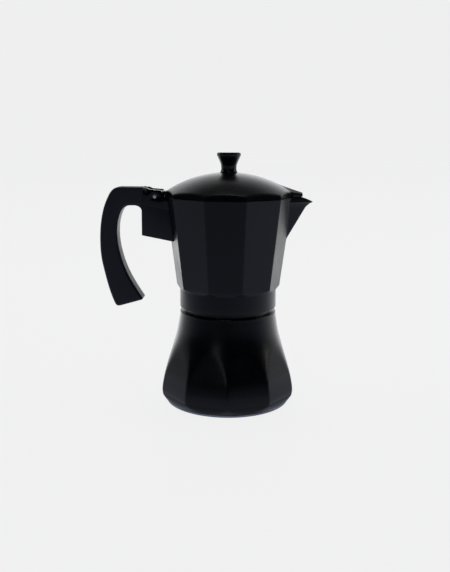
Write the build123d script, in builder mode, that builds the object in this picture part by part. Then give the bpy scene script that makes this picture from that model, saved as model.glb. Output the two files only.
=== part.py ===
from build123d import *
import math
import os

# Moka pot for six cups: boiler with funnel and safety valve, screwed-on collector
# with handle and spout, hinged lid. Millimetres, +Z up, spout to +X, handle to -X.
# The origin is on the pot's axis, on the plane it stands on.

# ---------------------------------------------------------------- overall sizes
SIDES = 10
STEP = 360 / SIDES
COS_HALF = math.cos(math.radians(STEP / 2))
BOILER_TURN = 3.0          # how far the boiler's corners stand past the half step
RUN = 0.3                  # gap between curved faces that move past each other
FIT = 0.05                 # radial gap of a screwed or pushed-in cylinder

# boiler: corner radius by height, and how far the flats have faded into a circle
PLATE_T = 2.4
BELLY_R = 54.7
BELLY_Z = 10.5
SHOULDER_R = 38.3
SHOULDER_Z = 76.0
BELL = [
    (BELLY_Z, 1.0, 0.0),
    (16.0, 0.991, 0.0),
    (25.0, 0.956, 0.07),
    (32.0, 0.912, 0.17),
    (41.5, 0.841, 0.55),
    (48.5, 0.790, 1.0),
    (56.0, 0.750, 1.25),
    (63.5, 0.724, 1.25),
    (73.8, SHOULDER_R / BELLY_R, 1.25),
]
BOTTOM_R = 51.2
CHAMFER_Z = 6.6
BOILER_WALL = 3.0
SHOULDER_ROUND = 1.8

# neck and thread
NECK_TOP = 88.0
NECK_IN_R = 31.3
THREAD_ROOT_R = 34.2
THREAD_DEPTH = 1.2
PITCH = 3.0
THREAD_START_Z = 78.4
MALE_TURNS = 2.7
FEMALE_TURNS = 2.5
RIDGE_ROOT = 1.6
RIDGE_TOP = 0.8

# collector
COLLAR_R = SHOULDER_R
COLLAR_GAP = 1.4
COLLAR_TOP = 91.8
FACET_BOTTOM = 94.5
FACET_BOTTOM_R = 41.1
RIM_Z = 164.5
RIM_R = 50.1
CHAMBER_WALL = 2.4
LEDGE_Z = 92.2
FLOOR_Z = 97.0

# seal stack
RIM_T = 0.8
PLATE_SHEET = 0.8
GASKET_R = 33.9
GASKET_IN_R = 28.0

# spout
KEEL_Z = 130.6
KEEL_X = FACET_BOTTOM_R + (RIM_R - FACET_BOTTOM_R) * 0.52
KEEL_SLOPE = 0.579
SPOUT_HALF = 11.2
SPOUT_TOP = RIM_Z
SPOUT_TIP_X = KEEL_X + 20.9
SPOUT_TIP_Z = 160.8
SPOUT_WALL = 4.0

# hinge
PIN_X = -RIM_R - 6.9
PIN_Z = 164.4
PIN_R = 1.5
EYE_R = 3.8
TONGUE_HALF = 6.1
CHEEK_T = 2.6
EAR_TOP = 168.2
BURIED_X = -RIM_R + 8.1
EAR_LEFT = PIN_X - 9.2

# handle
BLOCK_HALF = TONGUE_HALF + RUN + CHEEK_T
GRIP_HALF = 7.5
BLOCK_LEFT = EAR_LEFT - 1.2
BLOCK_BOTTOM = 133.9
BLOCK_DROP = 0.19
SLOPE_Z = 153.6
SLOPE_X = -RIM_R + 3.8
SLOPE = 0.205
LUG_HALF = 4.5
LUG_BOTTOM = 140.0
LUG_TOP = 154.0
LUG_LEFT = PIN_X - 6.0
HANDLE_SCREW_Z = 146.5

# lid
DOME_R = 88.0
LID_TOP = 183.2
LID_GAP = 0.3
LID_T = 1.8
LID_PAD_R = 7.0
KNOB_TOP = 198.4

# safety valve
VALVE_Z = 54.0
BOSS_Y = 0.83 * BELLY_R
BOSS_R = 9.0
SHANK_R = 4.9
VALVE_BORE = 3.3
SEAT_Y = BOSS_Y - 4.6

# funnel
CUP_R = NECK_IN_R - 0.4
CUP_BOTTOM = 66.5
CONE_BOTTOM = 58.0
STEM_R = 4.6
STEM_BOTTOM = 8.5
SHEET = 0.8

os.makedirs("parts", exist_ok=True)


def finish(part, name):
    """Labels one piece and writes it."""
    part.label = name
    export_step(part, f"parts/{name}.step")


def upright(angle):
    """The vertical plane through the axis whose local x points to the angle."""
    a = math.radians(angle)
    return Plane(
        origin=(0, 0, 0),
        x_dir=(math.cos(a), math.sin(a), 0),
        z_dir=(math.sin(a), -math.cos(a), 0),
    )


def facing_y(y, z):
    """A plane across +Y at one height, for the valve's round and hexagonal steps."""
    return Plane(origin=(0, y, z), x_dir=(1, 0, 0), z_dir=(0, 1, 0))


def outer_corner_radius(z):
    """Corner radius of the collector's outside at one height."""
    share = (z - FACET_BOTTOM) / (RIM_Z - FACET_BOTTOM)
    return FACET_BOTTOM_R + share * (RIM_R - FACET_BOTTOM_R)


def frustum(z0, z1, grow):
    """Ten-sided frustum following the collector's outside, grown by a corner radius."""
    with BuildPart() as body:
        for z in (z0, z1):
            with BuildSketch(Plane.XY.offset(z)):
                RegularPolygon(outer_corner_radius(z) + grow, SIDES)
        loft(ruled=True)
    return body.part


def ring_holes(rings, spacing):
    """Centres of a perforation laid out in rings, six more holes in each ring."""
    places = [(0, 0)]
    for ring in range(1, rings + 1):
        for k in range(6 * ring):
            a = 2 * math.pi * k / (6 * ring)
            places.append((spacing * ring * math.cos(a), spacing * ring * math.sin(a)))
    return places


def thread_ridge(radius, outward, z, turns):
    """One helical ridge of the thread, its base sunk a little into the wall."""
    sink = 0.25
    out = 1 if outward else -1
    with BuildPart() as ridge:
        with BuildLine():
            Helix(PITCH, PITCH * turns, radius, center=(0, 0, z))
        with BuildSketch(Plane(origin=(radius, 0, z), x_dir=(1, 0, 0), z_dir=(0, -1, 0))):
            with BuildLine():
                Polyline(
                    (-out * sink, -RIDGE_ROOT / 2),
                    (0, -RIDGE_ROOT / 2),
                    (out * THREAD_DEPTH, -RIDGE_TOP / 2),
                    (out * THREAD_DEPTH, RIDGE_TOP / 2),
                    (0, RIDGE_ROOT / 2),
                    (-out * sink, RIDGE_ROOT / 2),
                    close=True,
                )
            make_face()
        sweep(is_frenet=True)
    return ridge.part


# ---------------------------------------------------------------- boiler
flat_z = [z for z, r, fade in BELL]
corner_r = [BELLY_R * r for z, r, fade in BELL]
flat_r = [BELLY_R * r * (COS_HALF + (1 - COS_HALF) * fade) for z, r, fade in BELL]
round_r = SHOULDER_R - SHOULDER_ROUND

with BuildPart() as boiler:
    with BuildSketch(Plane.XZ):
        with BuildLine():
            Polyline((0, PLATE_T), (BOTTOM_R, PLATE_T), (BELLY_R - 0.4, CHAMFER_Z))
            Line((BELLY_R - 0.4, CHAMFER_Z), (corner_r[0], BELLY_Z))
            Spline(*zip(corner_r, flat_z))
            Line((corner_r[-1], flat_z[-1]), (SHOULDER_R, SHOULDER_Z - SHOULDER_ROUND))
            RadiusArc(
                (SHOULDER_R, SHOULDER_Z - SHOULDER_ROUND),
                (round_r, SHOULDER_Z),
                -SHOULDER_ROUND,
            )
            Polyline((round_r, SHOULDER_Z), (0, SHOULDER_Z), (0, PLATE_T))
        make_face()
    revolve(axis=Axis.Z)
    for k in range(SIDES // 2):
        with BuildSketch(upright(STEP / 2 + BOILER_TURN + STEP / 2 + STEP * k)):
            with BuildLine():
                Polyline(
                    (0, PLATE_T),
                    (BOTTOM_R * COS_HALF, PLATE_T),
                    ((BELLY_R - 0.4) * COS_HALF, CHAMFER_Z),
                    (flat_r[0], BELLY_Z),
                )
                Spline(*zip(flat_r, flat_z))
                Polyline((flat_r[-1], flat_z[-1]), (flat_r[-1], SHOULDER_Z), (0, SHOULDER_Z))
                Line((0, SHOULDER_Z), (0, PLATE_T))
            make_face()
            mirror(about=Plane.YZ)
        extrude(amount=1.2 * BELLY_R, both=True, mode=Mode.INTERSECT)
    with BuildSketch(facing_y(BOSS_Y, VALVE_Z)):
        Circle(BOSS_R)
    extrude(amount=-8)
    with BuildSketch(Plane.XY.offset(SHOULDER_Z - 1)):
        Circle(THREAD_ROOT_R)
    extrude(amount=NECK_TOP - SHOULDER_Z + 1)
    add(thread_ridge(THREAD_ROOT_R, True, THREAD_START_Z, MALE_TURNS))
    with BuildSketch(Plane.XZ):
        with BuildLine():
            inner = [(r - BOILER_WALL, z) for r, z in zip(flat_r[:6], flat_z[:6])]
            inner += [(r - BOILER_WALL, z) for r, z in zip(corner_r[6:8], flat_z[6:8])]
            inner += [(corner_r[8] - BOILER_WALL - 1.2, flat_z[8] - 3.4)]
            floor_z = PLATE_T + BOILER_WALL
            Polyline((0, NECK_TOP), (0, floor_z), (inner[0][0] - 4, floor_z), inner[0])
            Spline(*inner)
            Polyline(inner[-1], (NECK_IN_R, SHOULDER_Z - 1), (NECK_IN_R, NECK_TOP), (0, NECK_TOP))
        make_face()
    revolve(axis=Axis.Z, mode=Mode.SUBTRACT)
    with BuildSketch(facing_y(BOSS_Y, VALVE_Z)):
        Circle(SHANK_R + FIT)
    extrude(amount=-14, mode=Mode.SUBTRACT)
finish(boiler.part, "boiler")

with BuildPart() as base_plate:
    with BuildSketch():
        Circle(0.907 * BELLY_R)
    extrude(amount=PLATE_T)
    chamfer(base_plate.edges().group_by(Axis.Z)[0], 0.5)
finish(base_plate.part, "base_plate")

# ---------------------------------------------------------------- safety valve
HEX_Y = BOSS_Y + 0.8
VALVE_END = HEX_Y + 6.0
RETAINER_Y = VALVE_END - 2.0

with BuildPart() as valve_washer:
    with BuildSketch(facing_y(BOSS_Y, VALVE_Z)):
        Circle(8.0)
        Circle(SHANK_R + 0.1, mode=Mode.SUBTRACT)
    extrude(amount=HEX_Y - BOSS_Y)
finish(valve_washer.part, "valve_washer")

with BuildPart() as valve_body:
    with BuildSketch(facing_y(HEX_Y, VALVE_Z)):
        RegularPolygon(7.5, 6, major_radius=False)
    extrude(amount=VALVE_END - HEX_Y)
    chamfer(valve_body.faces().sort_by(Axis.Y)[-1].edges(), 0.6)
    with BuildSketch(facing_y(SEAT_Y - 4.5, VALVE_Z)):
        Circle(SHANK_R)
    extrude(amount=HEX_Y - SEAT_Y + 4.5)
    with BuildSketch(facing_y(SEAT_Y, VALVE_Z)):
        Circle(VALVE_BORE)
    extrude(amount=VALVE_END - SEAT_Y, mode=Mode.SUBTRACT)
    with BuildSketch(facing_y(SEAT_Y - 4.5, VALVE_Z)):
        Circle(1.5)
    extrude(amount=5, mode=Mode.SUBTRACT)
finish(valve_body.part, "valve_body")

with BuildPart() as valve_piston:
    with BuildSketch(facing_y(SEAT_Y, VALVE_Z)):
        Circle(VALVE_BORE - RUN - 0.1)
    extrude(amount=2)
    with BuildSketch(facing_y(SEAT_Y + 2, VALVE_Z)):
        Circle(1.1)
    extrude(amount=VALVE_END - SEAT_Y)
finish(valve_piston.part, "valve_piston")

with BuildPart() as valve_retainer:
    with BuildSketch(facing_y(RETAINER_Y, VALVE_Z)):
        Circle(VALVE_BORE)
        Circle(1.1 + RUN + 0.05, mode=Mode.SUBTRACT)
    extrude(amount=1.6)
finish(valve_retainer.part, "valve_retainer")

WIRE_R = 0.3
COIL_R = 2.2
SPRING_START = SEAT_Y + 2 + WIRE_R
SPRING_LONG = RETAINER_Y - SEAT_Y - 2 - 2 * WIRE_R
with BuildPart() as coil:
    with BuildLine():
        Helix(SPRING_LONG / 5.5, SPRING_LONG, COIL_R)
    with BuildSketch(Plane(origin=(COIL_R, 0, 0), x_dir=(1, 0, 0), z_dir=(0, 1, 0))):
        Circle(WIRE_R)
    sweep(is_frenet=True)
valve_spring = facing_y(SPRING_START, VALVE_Z).location * coil.part
finish(valve_spring, "valve_spring")

# ---------------------------------------------------------------- funnel
with BuildPart() as funnel_basket:
    with BuildSketch(Plane.XZ):
        with BuildLine():
            Polyline(
                (STEM_R, CONE_BOTTOM - 4),
                (STEM_R + SHEET, CONE_BOTTOM - 4),
                (STEM_R + SHEET, CONE_BOTTOM),
                (CUP_R, CUP_BOTTOM),
                (CUP_R, NECK_TOP),
                (THREAD_ROOT_R - 0.8, NECK_TOP),
                (THREAD_ROOT_R - 0.8, NECK_TOP + RIM_T),
                (CUP_R - SHEET, NECK_TOP + RIM_T),
                (CUP_R - SHEET, CUP_BOTTOM + 0.4),
                (STEM_R, CONE_BOTTOM + 0.6),
                close=True,
            )
        make_face()
    revolve(axis=Axis.Z)
finish(funnel_basket.part, "funnel_basket")

with BuildPart() as funnel_stem:
    with BuildSketch(Plane.XY.offset(STEM_BOTTOM)):
        Circle(STEM_R)
        Circle(STEM_R - SHEET, mode=Mode.SUBTRACT)
    extrude(amount=CONE_BOTTOM - STEM_BOTTOM)
    with Locations((0, 0, STEM_BOTTOM)):
        Box(3, 3 * STEM_R, 2.5, mode=Mode.SUBTRACT)
finish(funnel_stem.part, "funnel_stem")

with BuildPart() as funnel_sieve:
    with BuildSketch(Plane.XY.offset(CUP_BOTTOM + 0.6)):
        Circle(CUP_R - SHEET)
        with Locations(*ring_holes(5, 5.2)):
            Circle(0.8, mode=Mode.SUBTRACT)
    extrude(amount=SHEET)
finish(funnel_sieve.part, "funnel_sieve")

# ---------------------------------------------------------------- seal
with BuildPart() as gasket:
    with BuildSketch(Plane.XY.offset(NECK_TOP + RIM_T)):
        Circle(GASKET_R)
        Circle(GASKET_IN_R, mode=Mode.SUBTRACT)
    extrude(amount=LEDGE_Z - PLATE_SHEET - NECK_TOP - RIM_T)
finish(gasket.part, "gasket")

with BuildPart() as filter_plate:
    with BuildSketch(Plane.XY.offset(LEDGE_Z - PLATE_SHEET)):
        Circle(GASKET_IN_R + 3)
        with Locations(*ring_holes(5, 4.8)):
            Circle(0.7, mode=Mode.SUBTRACT)
    extrude(amount=PLATE_SHEET)
finish(filter_plate.part, "filter_plate")

# ---------------------------------------------------------------- upper chamber
COLLAR_BOTTOM = SHOULDER_Z + COLLAR_GAP
THREAD_BORE_R = THREAD_ROOT_R + THREAD_DEPTH + 0.35
COLUMN_R = 6.0
COLUMN_TOP = 148.0
INSIDE = -CHAMBER_WALL / COS_HALF


def spout_wedge(shift, top):
    """The spout's three-sided pyramid, point down on the keel, moved towards the axis."""
    length = KEEL_SLOPE * (SPOUT_TOP - KEEL_Z)
    with BuildPart() as wedge:
        for z in (KEEL_Z + 0.5, top):
            grow = (z - KEEL_Z) / (SPOUT_TOP - KEEL_Z)
            front = KEEL_X + grow * length - shift
            back = front - grow * (length + 2.4)
            with BuildSketch(Plane.XY.offset(z)):
                Polygon(
                    (front, 0),
                    (back, grow * SPOUT_HALF),
                    (back, -grow * SPOUT_HALF),
                    align=None,
                )
        loft(ruled=True)
    return wedge.part


with BuildPart() as upper_chamber:
    add(frustum(FACET_BOTTOM, RIM_Z, 0))
    with BuildPart(mode=Mode.PRIVATE) as shoulder:
        for z, r in ((COLLAR_TOP, COLLAR_R / COS_HALF), (FACET_BOTTOM, FACET_BOTTOM_R)):
            with BuildSketch(Plane.XY.offset(z)):
                RegularPolygon(r, SIDES)
        loft(ruled=True)
        with Locations((0, 0, (COLLAR_TOP + FACET_BOTTOM) / 2)):
            Cone(COLLAR_R, FACET_BOTTOM_R + 0.1, FACET_BOTTOM - COLLAR_TOP, mode=Mode.INTERSECT)
    add(shoulder.part)
    with BuildSketch(Plane.XY.offset(COLLAR_BOTTOM)):
        Circle(COLLAR_R)
    extrude(amount=COLLAR_TOP - COLLAR_BOTTOM)
    chamfer(upper_chamber.edges().group_by(Axis.Z)[0], 0.5)
    # spout with its hooked lip
    add(spout_wedge(0, SPOUT_TOP))
    with BuildSketch(Plane.XZ):
        Polygon(
            (SPOUT_TIP_X - 5.6, SPOUT_TIP_Z - 3.6),
            (SPOUT_TIP_X - 2.6, SPOUT_TIP_Z - 1.2),
            (SPOUT_TIP_X, SPOUT_TIP_Z),
            (SPOUT_TIP_X - 6.4, SPOUT_TOP),
            (SPOUT_TIP_X - 9.0, SPOUT_TOP),
            align=None,
        )
    extrude(amount=2.3, both=True)
    with BuildSketch(Plane.XY.offset(SPOUT_TIP_Z - 5)):
        Polygon(
            (SPOUT_TIP_X, 0),
            (SPOUT_TIP_X, 6),
            (SPOUT_TIP_X - 9, 6),
            (SPOUT_TIP_X - 9, 4.4),
            align=None,
        )
        mirror(about=Plane.XZ)
    extrude(amount=20, mode=Mode.SUBTRACT)
    with BuildSketch(Plane.XZ):
        Polygon(
            (SPOUT_TIP_X + 1, SPOUT_TIP_Z - 0.2),
            (SPOUT_TIP_X + 1, SPOUT_TOP + 3),
            (SPOUT_TIP_X - 8.6, SPOUT_TOP + 3),
            (SPOUT_TIP_X - 7.0, SPOUT_TOP),
            align=None,
        )
    extrude(amount=20, both=True, mode=Mode.SUBTRACT)
    # lug for the handle and bracket
    with BuildSketch(Plane.XZ):
        Polygon(
            (LUG_LEFT, LUG_BOTTOM),
            (BURIED_X, LUG_BOTTOM - 3),
            (BURIED_X, LUG_TOP),
            (LUG_LEFT, LUG_TOP),
            align=None,
        )
    extrude(amount=LUG_HALF, both=True)
    # inside
    add(frustum(FLOOR_Z, RIM_Z + 5, INSIDE), mode=Mode.SUBTRACT)
    add(spout_wedge(SPOUT_WALL, SPOUT_TOP + 5), mode=Mode.SUBTRACT)
    with BuildSketch(Plane.XZ):
        Polygon(
            (SPOUT_TIP_X - 10, SPOUT_TIP_Z - 2.6),
            (SPOUT_TIP_X + 1, SPOUT_TIP_Z + 1.1),
            (SPOUT_TIP_X + 1, SPOUT_TOP + 3),
            (SPOUT_TIP_X - 10, SPOUT_TOP + 3),
            align=None,
        )
    extrude(amount=0.9, both=True, mode=Mode.SUBTRACT)
    with BuildSketch(Plane.XY.offset(FLOOR_Z - 1)):
        Circle(COLUMN_R + 3)
    extrude(amount=5)
    # underside: thread bore, gasket seat, collecting cone, column bore
    with BuildSketch(Plane.XZ):
        Polygon(
            (0, COLLAR_BOTTOM - 1),
            (THREAD_BORE_R, COLLAR_BOTTOM - 1),
            (THREAD_BORE_R, NECK_TOP + 0.2),
            (GASKET_R + 0.1, NECK_TOP + 0.2),
            (GASKET_R + 0.1, LEDGE_Z),
            (GASKET_IN_R - 1, LEDGE_Z),
            (COLUMN_R, FLOOR_Z - 2.2),
            (COLUMN_R, FLOOR_Z + 10),
            (0, FLOOR_Z + 10),
            align=None,
        )
    revolve(axis=Axis.Z, mode=Mode.SUBTRACT)
    add(thread_ridge(THREAD_BORE_R, False, THREAD_START_Z + PITCH / 2, FEMALE_TURNS))
    # screw holes in the lug
    with BuildSketch(Plane(origin=(LUG_LEFT, 0, HANDLE_SCREW_Z), z_dir=(1, 0, 0))):
        Circle(2 + FIT)
    extrude(amount=11, mode=Mode.SUBTRACT)
    with BuildSketch(Plane.XY.offset(LUG_TOP)):
        with Locations((PIN_X + 3, 0)):
            Circle(1.5 + FIT)
    extrude(amount=-5.4, mode=Mode.SUBTRACT)
finish(upper_chamber.part, "upper_chamber")

with BuildPart() as riser_column:
    with BuildSketch(Plane.XZ):
        Polygon(
            (3.6, FLOOR_Z - 2.2),
            (COLUMN_R, FLOOR_Z - 2.2),
            (COLUMN_R, FLOOR_Z + 6),
            (COLUMN_R - 1, COLUMN_TOP - 2),
            (COLUMN_R - 2, COLUMN_TOP),
            (0, COLUMN_TOP),
            (0, COLUMN_TOP - 1.6),
            (2.8, COLUMN_TOP - 2.6),
            align=None,
        )
    revolve(axis=Axis.Z)
    with Locations((0, 0, COLUMN_TOP - 7)):
        Box(3.2, 4 * COLUMN_R, 5, mode=Mode.SUBTRACT)
finish(riser_column.part, "riser_column")

# ---------------------------------------------------------------- hinge bracket and pin
WEB_T = 2.2
CHEEK_IN = TONGUE_HALF + RUN


def slope_z(x):
    """Height of the sloping seam between the bracket and the handle's block."""
    return SLOPE_Z + SLOPE * (SLOPE_X - x)


with BuildPart() as hinge_bracket:
    with BuildSketch(Plane.XZ):
        with BuildLine():
            Polyline(
                (EAR_LEFT, slope_z(EAR_LEFT)),
                (BURIED_X, slope_z(BURIED_X)),
                (BURIED_X, RIM_Z - 0.4),
                (PIN_X + 7.4, RIM_Z - 0.4),
                (PIN_X + 6.0, EAR_TOP - 1.0),
                (PIN_X + 4.6, EAR_TOP),
                (EAR_LEFT + 5.5, EAR_TOP),
                (EAR_LEFT + 3.0, EAR_TOP + 1.2),
                (EAR_LEFT, EAR_TOP + 1.2),
                close=True,
            )
        make_face()
    extrude(amount=BLOCK_HALF, both=True)
    with Locations(((EAR_LEFT + BURIED_X) / 2, 0, LUG_TOP + 10)):
        Box(40, 2 * CHEEK_IN, 40, mode=Mode.SUBTRACT)
    with BuildSketch(Plane.XY.offset(LUG_TOP)):
        with Locations(((EAR_LEFT + BURIED_X) / 2 + 0.6, 0)):
            Rectangle(BURIED_X - EAR_LEFT - 1.2, 2 * CHEEK_IN)
    extrude(amount=WEB_T)
    add(frustum(FACET_BOTTOM, RIM_Z + 10, 0.1), mode=Mode.SUBTRACT)
    with BuildSketch(facing_y(-BLOCK_HALF, PIN_Z)):
        with Locations((PIN_X, 0)):
            Circle(PIN_R)
    extrude(amount=2 * BLOCK_HALF, mode=Mode.SUBTRACT)
    with BuildSketch(Plane.XY.offset(LUG_TOP)):
        with Locations((PIN_X + 3, 0)):
            Circle(1.7)
    extrude(amount=WEB_T, mode=Mode.SUBTRACT)
finish(hinge_bracket.part, "hinge_bracket")

with BuildPart() as bracket_screw:
    with BuildSketch(Plane.XY.offset(LUG_TOP + WEB_T)):
        with Locations((PIN_X + 3, 0)):
            Circle(2.8)
    extrude(amount=1.6)
    with BuildSketch(Plane.XY.offset(LUG_TOP - 5)):
        with Locations((PIN_X + 3, 0)):
            Circle(1.5)
    extrude(amount=5 + WEB_T)
    with Locations((PIN_X + 3, 0, LUG_TOP + WEB_T + 1.6)):
        Box(5.6, 0.8, 1.4, mode=Mode.SUBTRACT)
finish(bracket_screw.part, "bracket_screw")

with BuildPart() as hinge_pin:
    with BuildSketch(facing_y(-BLOCK_HALF - 0.5, PIN_Z)):
        with Locations((PIN_X, 0)):
            Circle(PIN_R)
    extrude(amount=2 * BLOCK_HALF + 1)
    chamfer(hinge_pin.edges().filter_by(GeomType.CIRCLE), 0.3)
finish(hinge_pin.part, "hinge_pin")

# ---------------------------------------------------------------- handle
# reach past the collector's rim, height
OUTER_GRIP = [
    (44.9, 162.3),
    (48.3, 153.0),
    (50.5, 141.0),
    (51.2, 128.0),
    (50.5, 115.7),
    (47.9, 102.7),
    (44.3, 89.0),
    (39.1, 75.6),
]
INNER_GRIP = [
    (17.1, 82.0),
    (24.3, 93.2),
    (30.3, 104.5),
    (34.7, 117.0),
    (37.1, 130.0),
    (36.9, 142.0),
    (34.3, 151.6),
]
BLOCK_IN = -RIM_R + 12.1
BEND_REACH = 26.3
SHOULDER_REACH = 34.4
BAR_TOP = 171.2
BAR_BOTTOM = 156.9

outer = [(-RIM_R - reach, z) for reach, z in OUTER_GRIP]
inner = [(-RIM_R - reach, z) for reach, z in INNER_GRIP]
bend = (-RIM_R - BEND_REACH, BAR_BOTTOM)
shoulder_end = (-RIM_R - SHOULDER_REACH, BAR_TOP)

with BuildPart() as handle:
    with BuildSketch(Plane.XZ):
        with BuildLine():
            Spline(*outer)
            Line(outer[-1], inner[0])
            Spline(*inner)
            Spline(inner[-1], bend, tangents=[(0.45, 0.89), (1, 0)])
            Polyline(bend, (EAR_LEFT - 0.1, BAR_BOTTOM), (EAR_LEFT - 0.1, BAR_TOP))
            Line((EAR_LEFT - 0.1, BAR_TOP), shoulder_end)
            Spline(shoulder_end, outer[0], tangents=[(-1, 0), (-0.45, -0.89)])
        make_face()
    extrude(amount=GRIP_HALF, both=True)
    long_edges = handle.edges().filter_by(lambda e: e.center().X < BLOCK_LEFT - 1.1)
    fillet(long_edges.filter_by(lambda e: abs(abs(e.center().Y) - GRIP_HALF) < 0.01), 2.2)
    with BuildSketch(Plane.XZ):
        Polygon(
            (BLOCK_LEFT, BLOCK_BOTTOM),
            (BLOCK_IN, BLOCK_BOTTOM - BLOCK_DROP * (BLOCK_IN - BLOCK_LEFT)),
            (BLOCK_IN, slope_z(BLOCK_IN)),
            (EAR_LEFT - 0.1, slope_z(EAR_LEFT)),
            (EAR_LEFT - 0.1, BAR_TOP),
            (BLOCK_LEFT, BAR_TOP),
            align=None,
        )
    extrude(amount=BLOCK_HALF, both=True)
    with BuildSketch(Plane.XZ):
        with BuildLine():
            Polyline((BLOCK_LEFT - 5, BAR_BOTTOM + 1), (BLOCK_LEFT + 1, BAR_BOTTOM + 1))
            Line((BLOCK_LEFT + 1, BAR_BOTTOM + 1), (BLOCK_LEFT + 1, BAR_BOTTOM - 5))
            Line((BLOCK_LEFT + 1, BAR_BOTTOM - 5), (BLOCK_LEFT, BAR_BOTTOM - 5))
            ThreePointArc(
                (BLOCK_LEFT, BAR_BOTTOM - 5),
                (BLOCK_LEFT - 1.5, BAR_BOTTOM - 1.5),
                (BLOCK_LEFT - 5, BAR_BOTTOM),
            )
            Line((BLOCK_LEFT - 5, BAR_BOTTOM), (BLOCK_LEFT - 5, BAR_BOTTOM + 1))
        make_face()
    extrude(amount=GRIP_HALF - 0.5, both=True)
    add(frustum(FACET_BOTTOM, RIM_Z + 10, 0.1), mode=Mode.SUBTRACT)
    # pocket for the lug and the bracket's web
    with Locations(((LUG_LEFT + BLOCK_IN) / 2, 0, (LUG_BOTTOM + LUG_TOP) / 2 - 2)):
        Box(BLOCK_IN - LUG_LEFT, 2 * LUG_HALF + 0.2, LUG_TOP - LUG_BOTTOM + 4.2, mode=Mode.SUBTRACT)
    with Locations(((EAR_LEFT + BLOCK_IN) / 2, 0, LUG_TOP + 5)):
        Box(BLOCK_IN - EAR_LEFT, 2 * CHEEK_IN, 10, mode=Mode.SUBTRACT)
    # screw hole with its counterbore, from the finger side
    with BuildSketch(Plane(origin=(LUG_LEFT, 0, HANDLE_SCREW_Z), z_dir=(-1, 0, 0))):
        Circle(2.2)
    extrude(amount=20, mode=Mode.SUBTRACT)
    with BuildSketch(Plane(origin=(BLOCK_LEFT + 2.4, 0, HANDLE_SCREW_Z), z_dir=(-1, 0, 0))):
        Circle(4.0)
    extrude(amount=12, mode=Mode.SUBTRACT)
finish(handle.part, "handle")

with BuildPart() as handle_screw:
    with BuildSketch(Plane(origin=(BLOCK_LEFT + 2.4, 0, HANDLE_SCREW_Z), z_dir=(-1, 0, 0))):
        Circle(3.6)
    extrude(amount=2.0)
    with BuildSketch(Plane(origin=(BLOCK_LEFT + 2.4, 0, HANDLE_SCREW_Z), z_dir=(1, 0, 0))):
        Circle(2.0)
    extrude(amount=12)
    with Locations((BLOCK_LEFT + 0.4, 0, HANDLE_SCREW_Z)):
        Box(1.8, 0.9, 7.2, mode=Mode.SUBTRACT)
finish(handle_screw.part, "handle_screw")

# ---------------------------------------------------------------- lid
LID_BOTTOM = RIM_Z + LID_GAP
DOME_C = LID_TOP - DOME_R
LIP_R = outer_corner_radius(RIM_Z - 2) + INSIDE - 0.4


def dome(radius, pad):
    """Solid of revolution under the dome, flat at the middle where the knob sits."""
    top = DOME_C + math.sqrt(radius**2 - pad**2)
    with BuildPart() as body:
        with BuildSketch(Plane.XZ):
            with BuildLine():
                Polyline((0, LID_BOTTOM - 5), (0, top), (pad, top))
                wide = RIM_R + 4
                half = (wide / 2, DOME_C + math.sqrt(radius**2 - wide**2 / 4))
                edge = (wide, DOME_C + math.sqrt(radius**2 - wide**2))
                ThreePointArc((pad, top), half, edge)
                Polyline(edge, (wide, LID_BOTTOM - 12), (0, LID_BOTTOM - 12), (0, LID_BOTTOM - 5))
            make_face()
        revolve(axis=Axis.Z)
    return body.part


def beak(inset):
    """The gabled cover over the spout, or the hollow inside it."""
    low = SPOUT_TOP + LID_GAP - (3 if inset else 0)
    with BuildPart() as body:
        for x, half, ridge in ((RIM_R - 16.1, 12.5, 175.6), (RIM_R + 7.5 - 1.2 * inset, 3.2, 167.9)):
            h = half - inset
            r = ridge - inset
            with BuildSketch(Plane(origin=(x, 0, 0), x_dir=(0, 1, 0), z_dir=(1, 0, 0))):
                Polygon((-h, low), (h, low), (h, r - 0.38 * h), (0, r), (-h, r - 0.38 * h), align=None)
        loft(ruled=True)
    return body.part


with BuildPart() as lid:
    with BuildSketch(Plane.XY.offset(LID_BOTTOM)):
        RegularPolygon(RIM_R, SIDES)
    extrude(amount=30)
    add(dome(DOME_R, LID_PAD_R), mode=Mode.INTERSECT)
    add(beak(0))
    with BuildSketch(Plane.XZ):
        Polygon(
            (PIN_X, LID_BOTTOM),
            (BURIED_X, LID_BOTTOM),
            (BURIED_X, EAR_TOP + 1.5),
            (-RIM_R + 1.1, EAR_TOP),
            (PIN_X, EAR_TOP),
            align=None,
        )
    extrude(amount=TONGUE_HALF, both=True)
    with BuildSketch(Plane.XY.offset(RIM_Z - 2)):
        RegularPolygon(LIP_R, SIDES)
    extrude(amount=4)
    # hollow underside
    with BuildPart(mode=Mode.PRIVATE) as hollow:
        with BuildSketch(Plane.XY.offset(RIM_Z - 2)):
            RegularPolygon(LIP_R - 1.6, SIDES)
        extrude(amount=30)
        add(dome(DOME_R - LID_T, LID_PAD_R), mode=Mode.INTERSECT)
    add(hollow.part, mode=Mode.SUBTRACT)
    add(beak(1.6), mode=Mode.SUBTRACT)
    with Locations((LIP_R - 4, 0, RIM_Z - 2)):
        Box(20, 2 * SPOUT_HALF, 2 * (LID_GAP + 2), mode=Mode.SUBTRACT)
    # eye on the pin
    with BuildSketch(facing_y(-TONGUE_HALF, PIN_Z)):
        with Locations((PIN_X, 0)):
            Circle(EYE_R)
    extrude(amount=2 * TONGUE_HALF)
    with BuildSketch(facing_y(-TONGUE_HALF, PIN_Z)):
        with Locations((PIN_X, 0)):
            Circle(PIN_R + FIT)
    extrude(amount=2 * TONGUE_HALF, mode=Mode.SUBTRACT)
    with BuildSketch(Plane.XY.offset(LID_TOP - 5)):
        Circle(2.2)
    extrude(amount=10, mode=Mode.SUBTRACT)
finish(lid.part, "lid")

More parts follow.
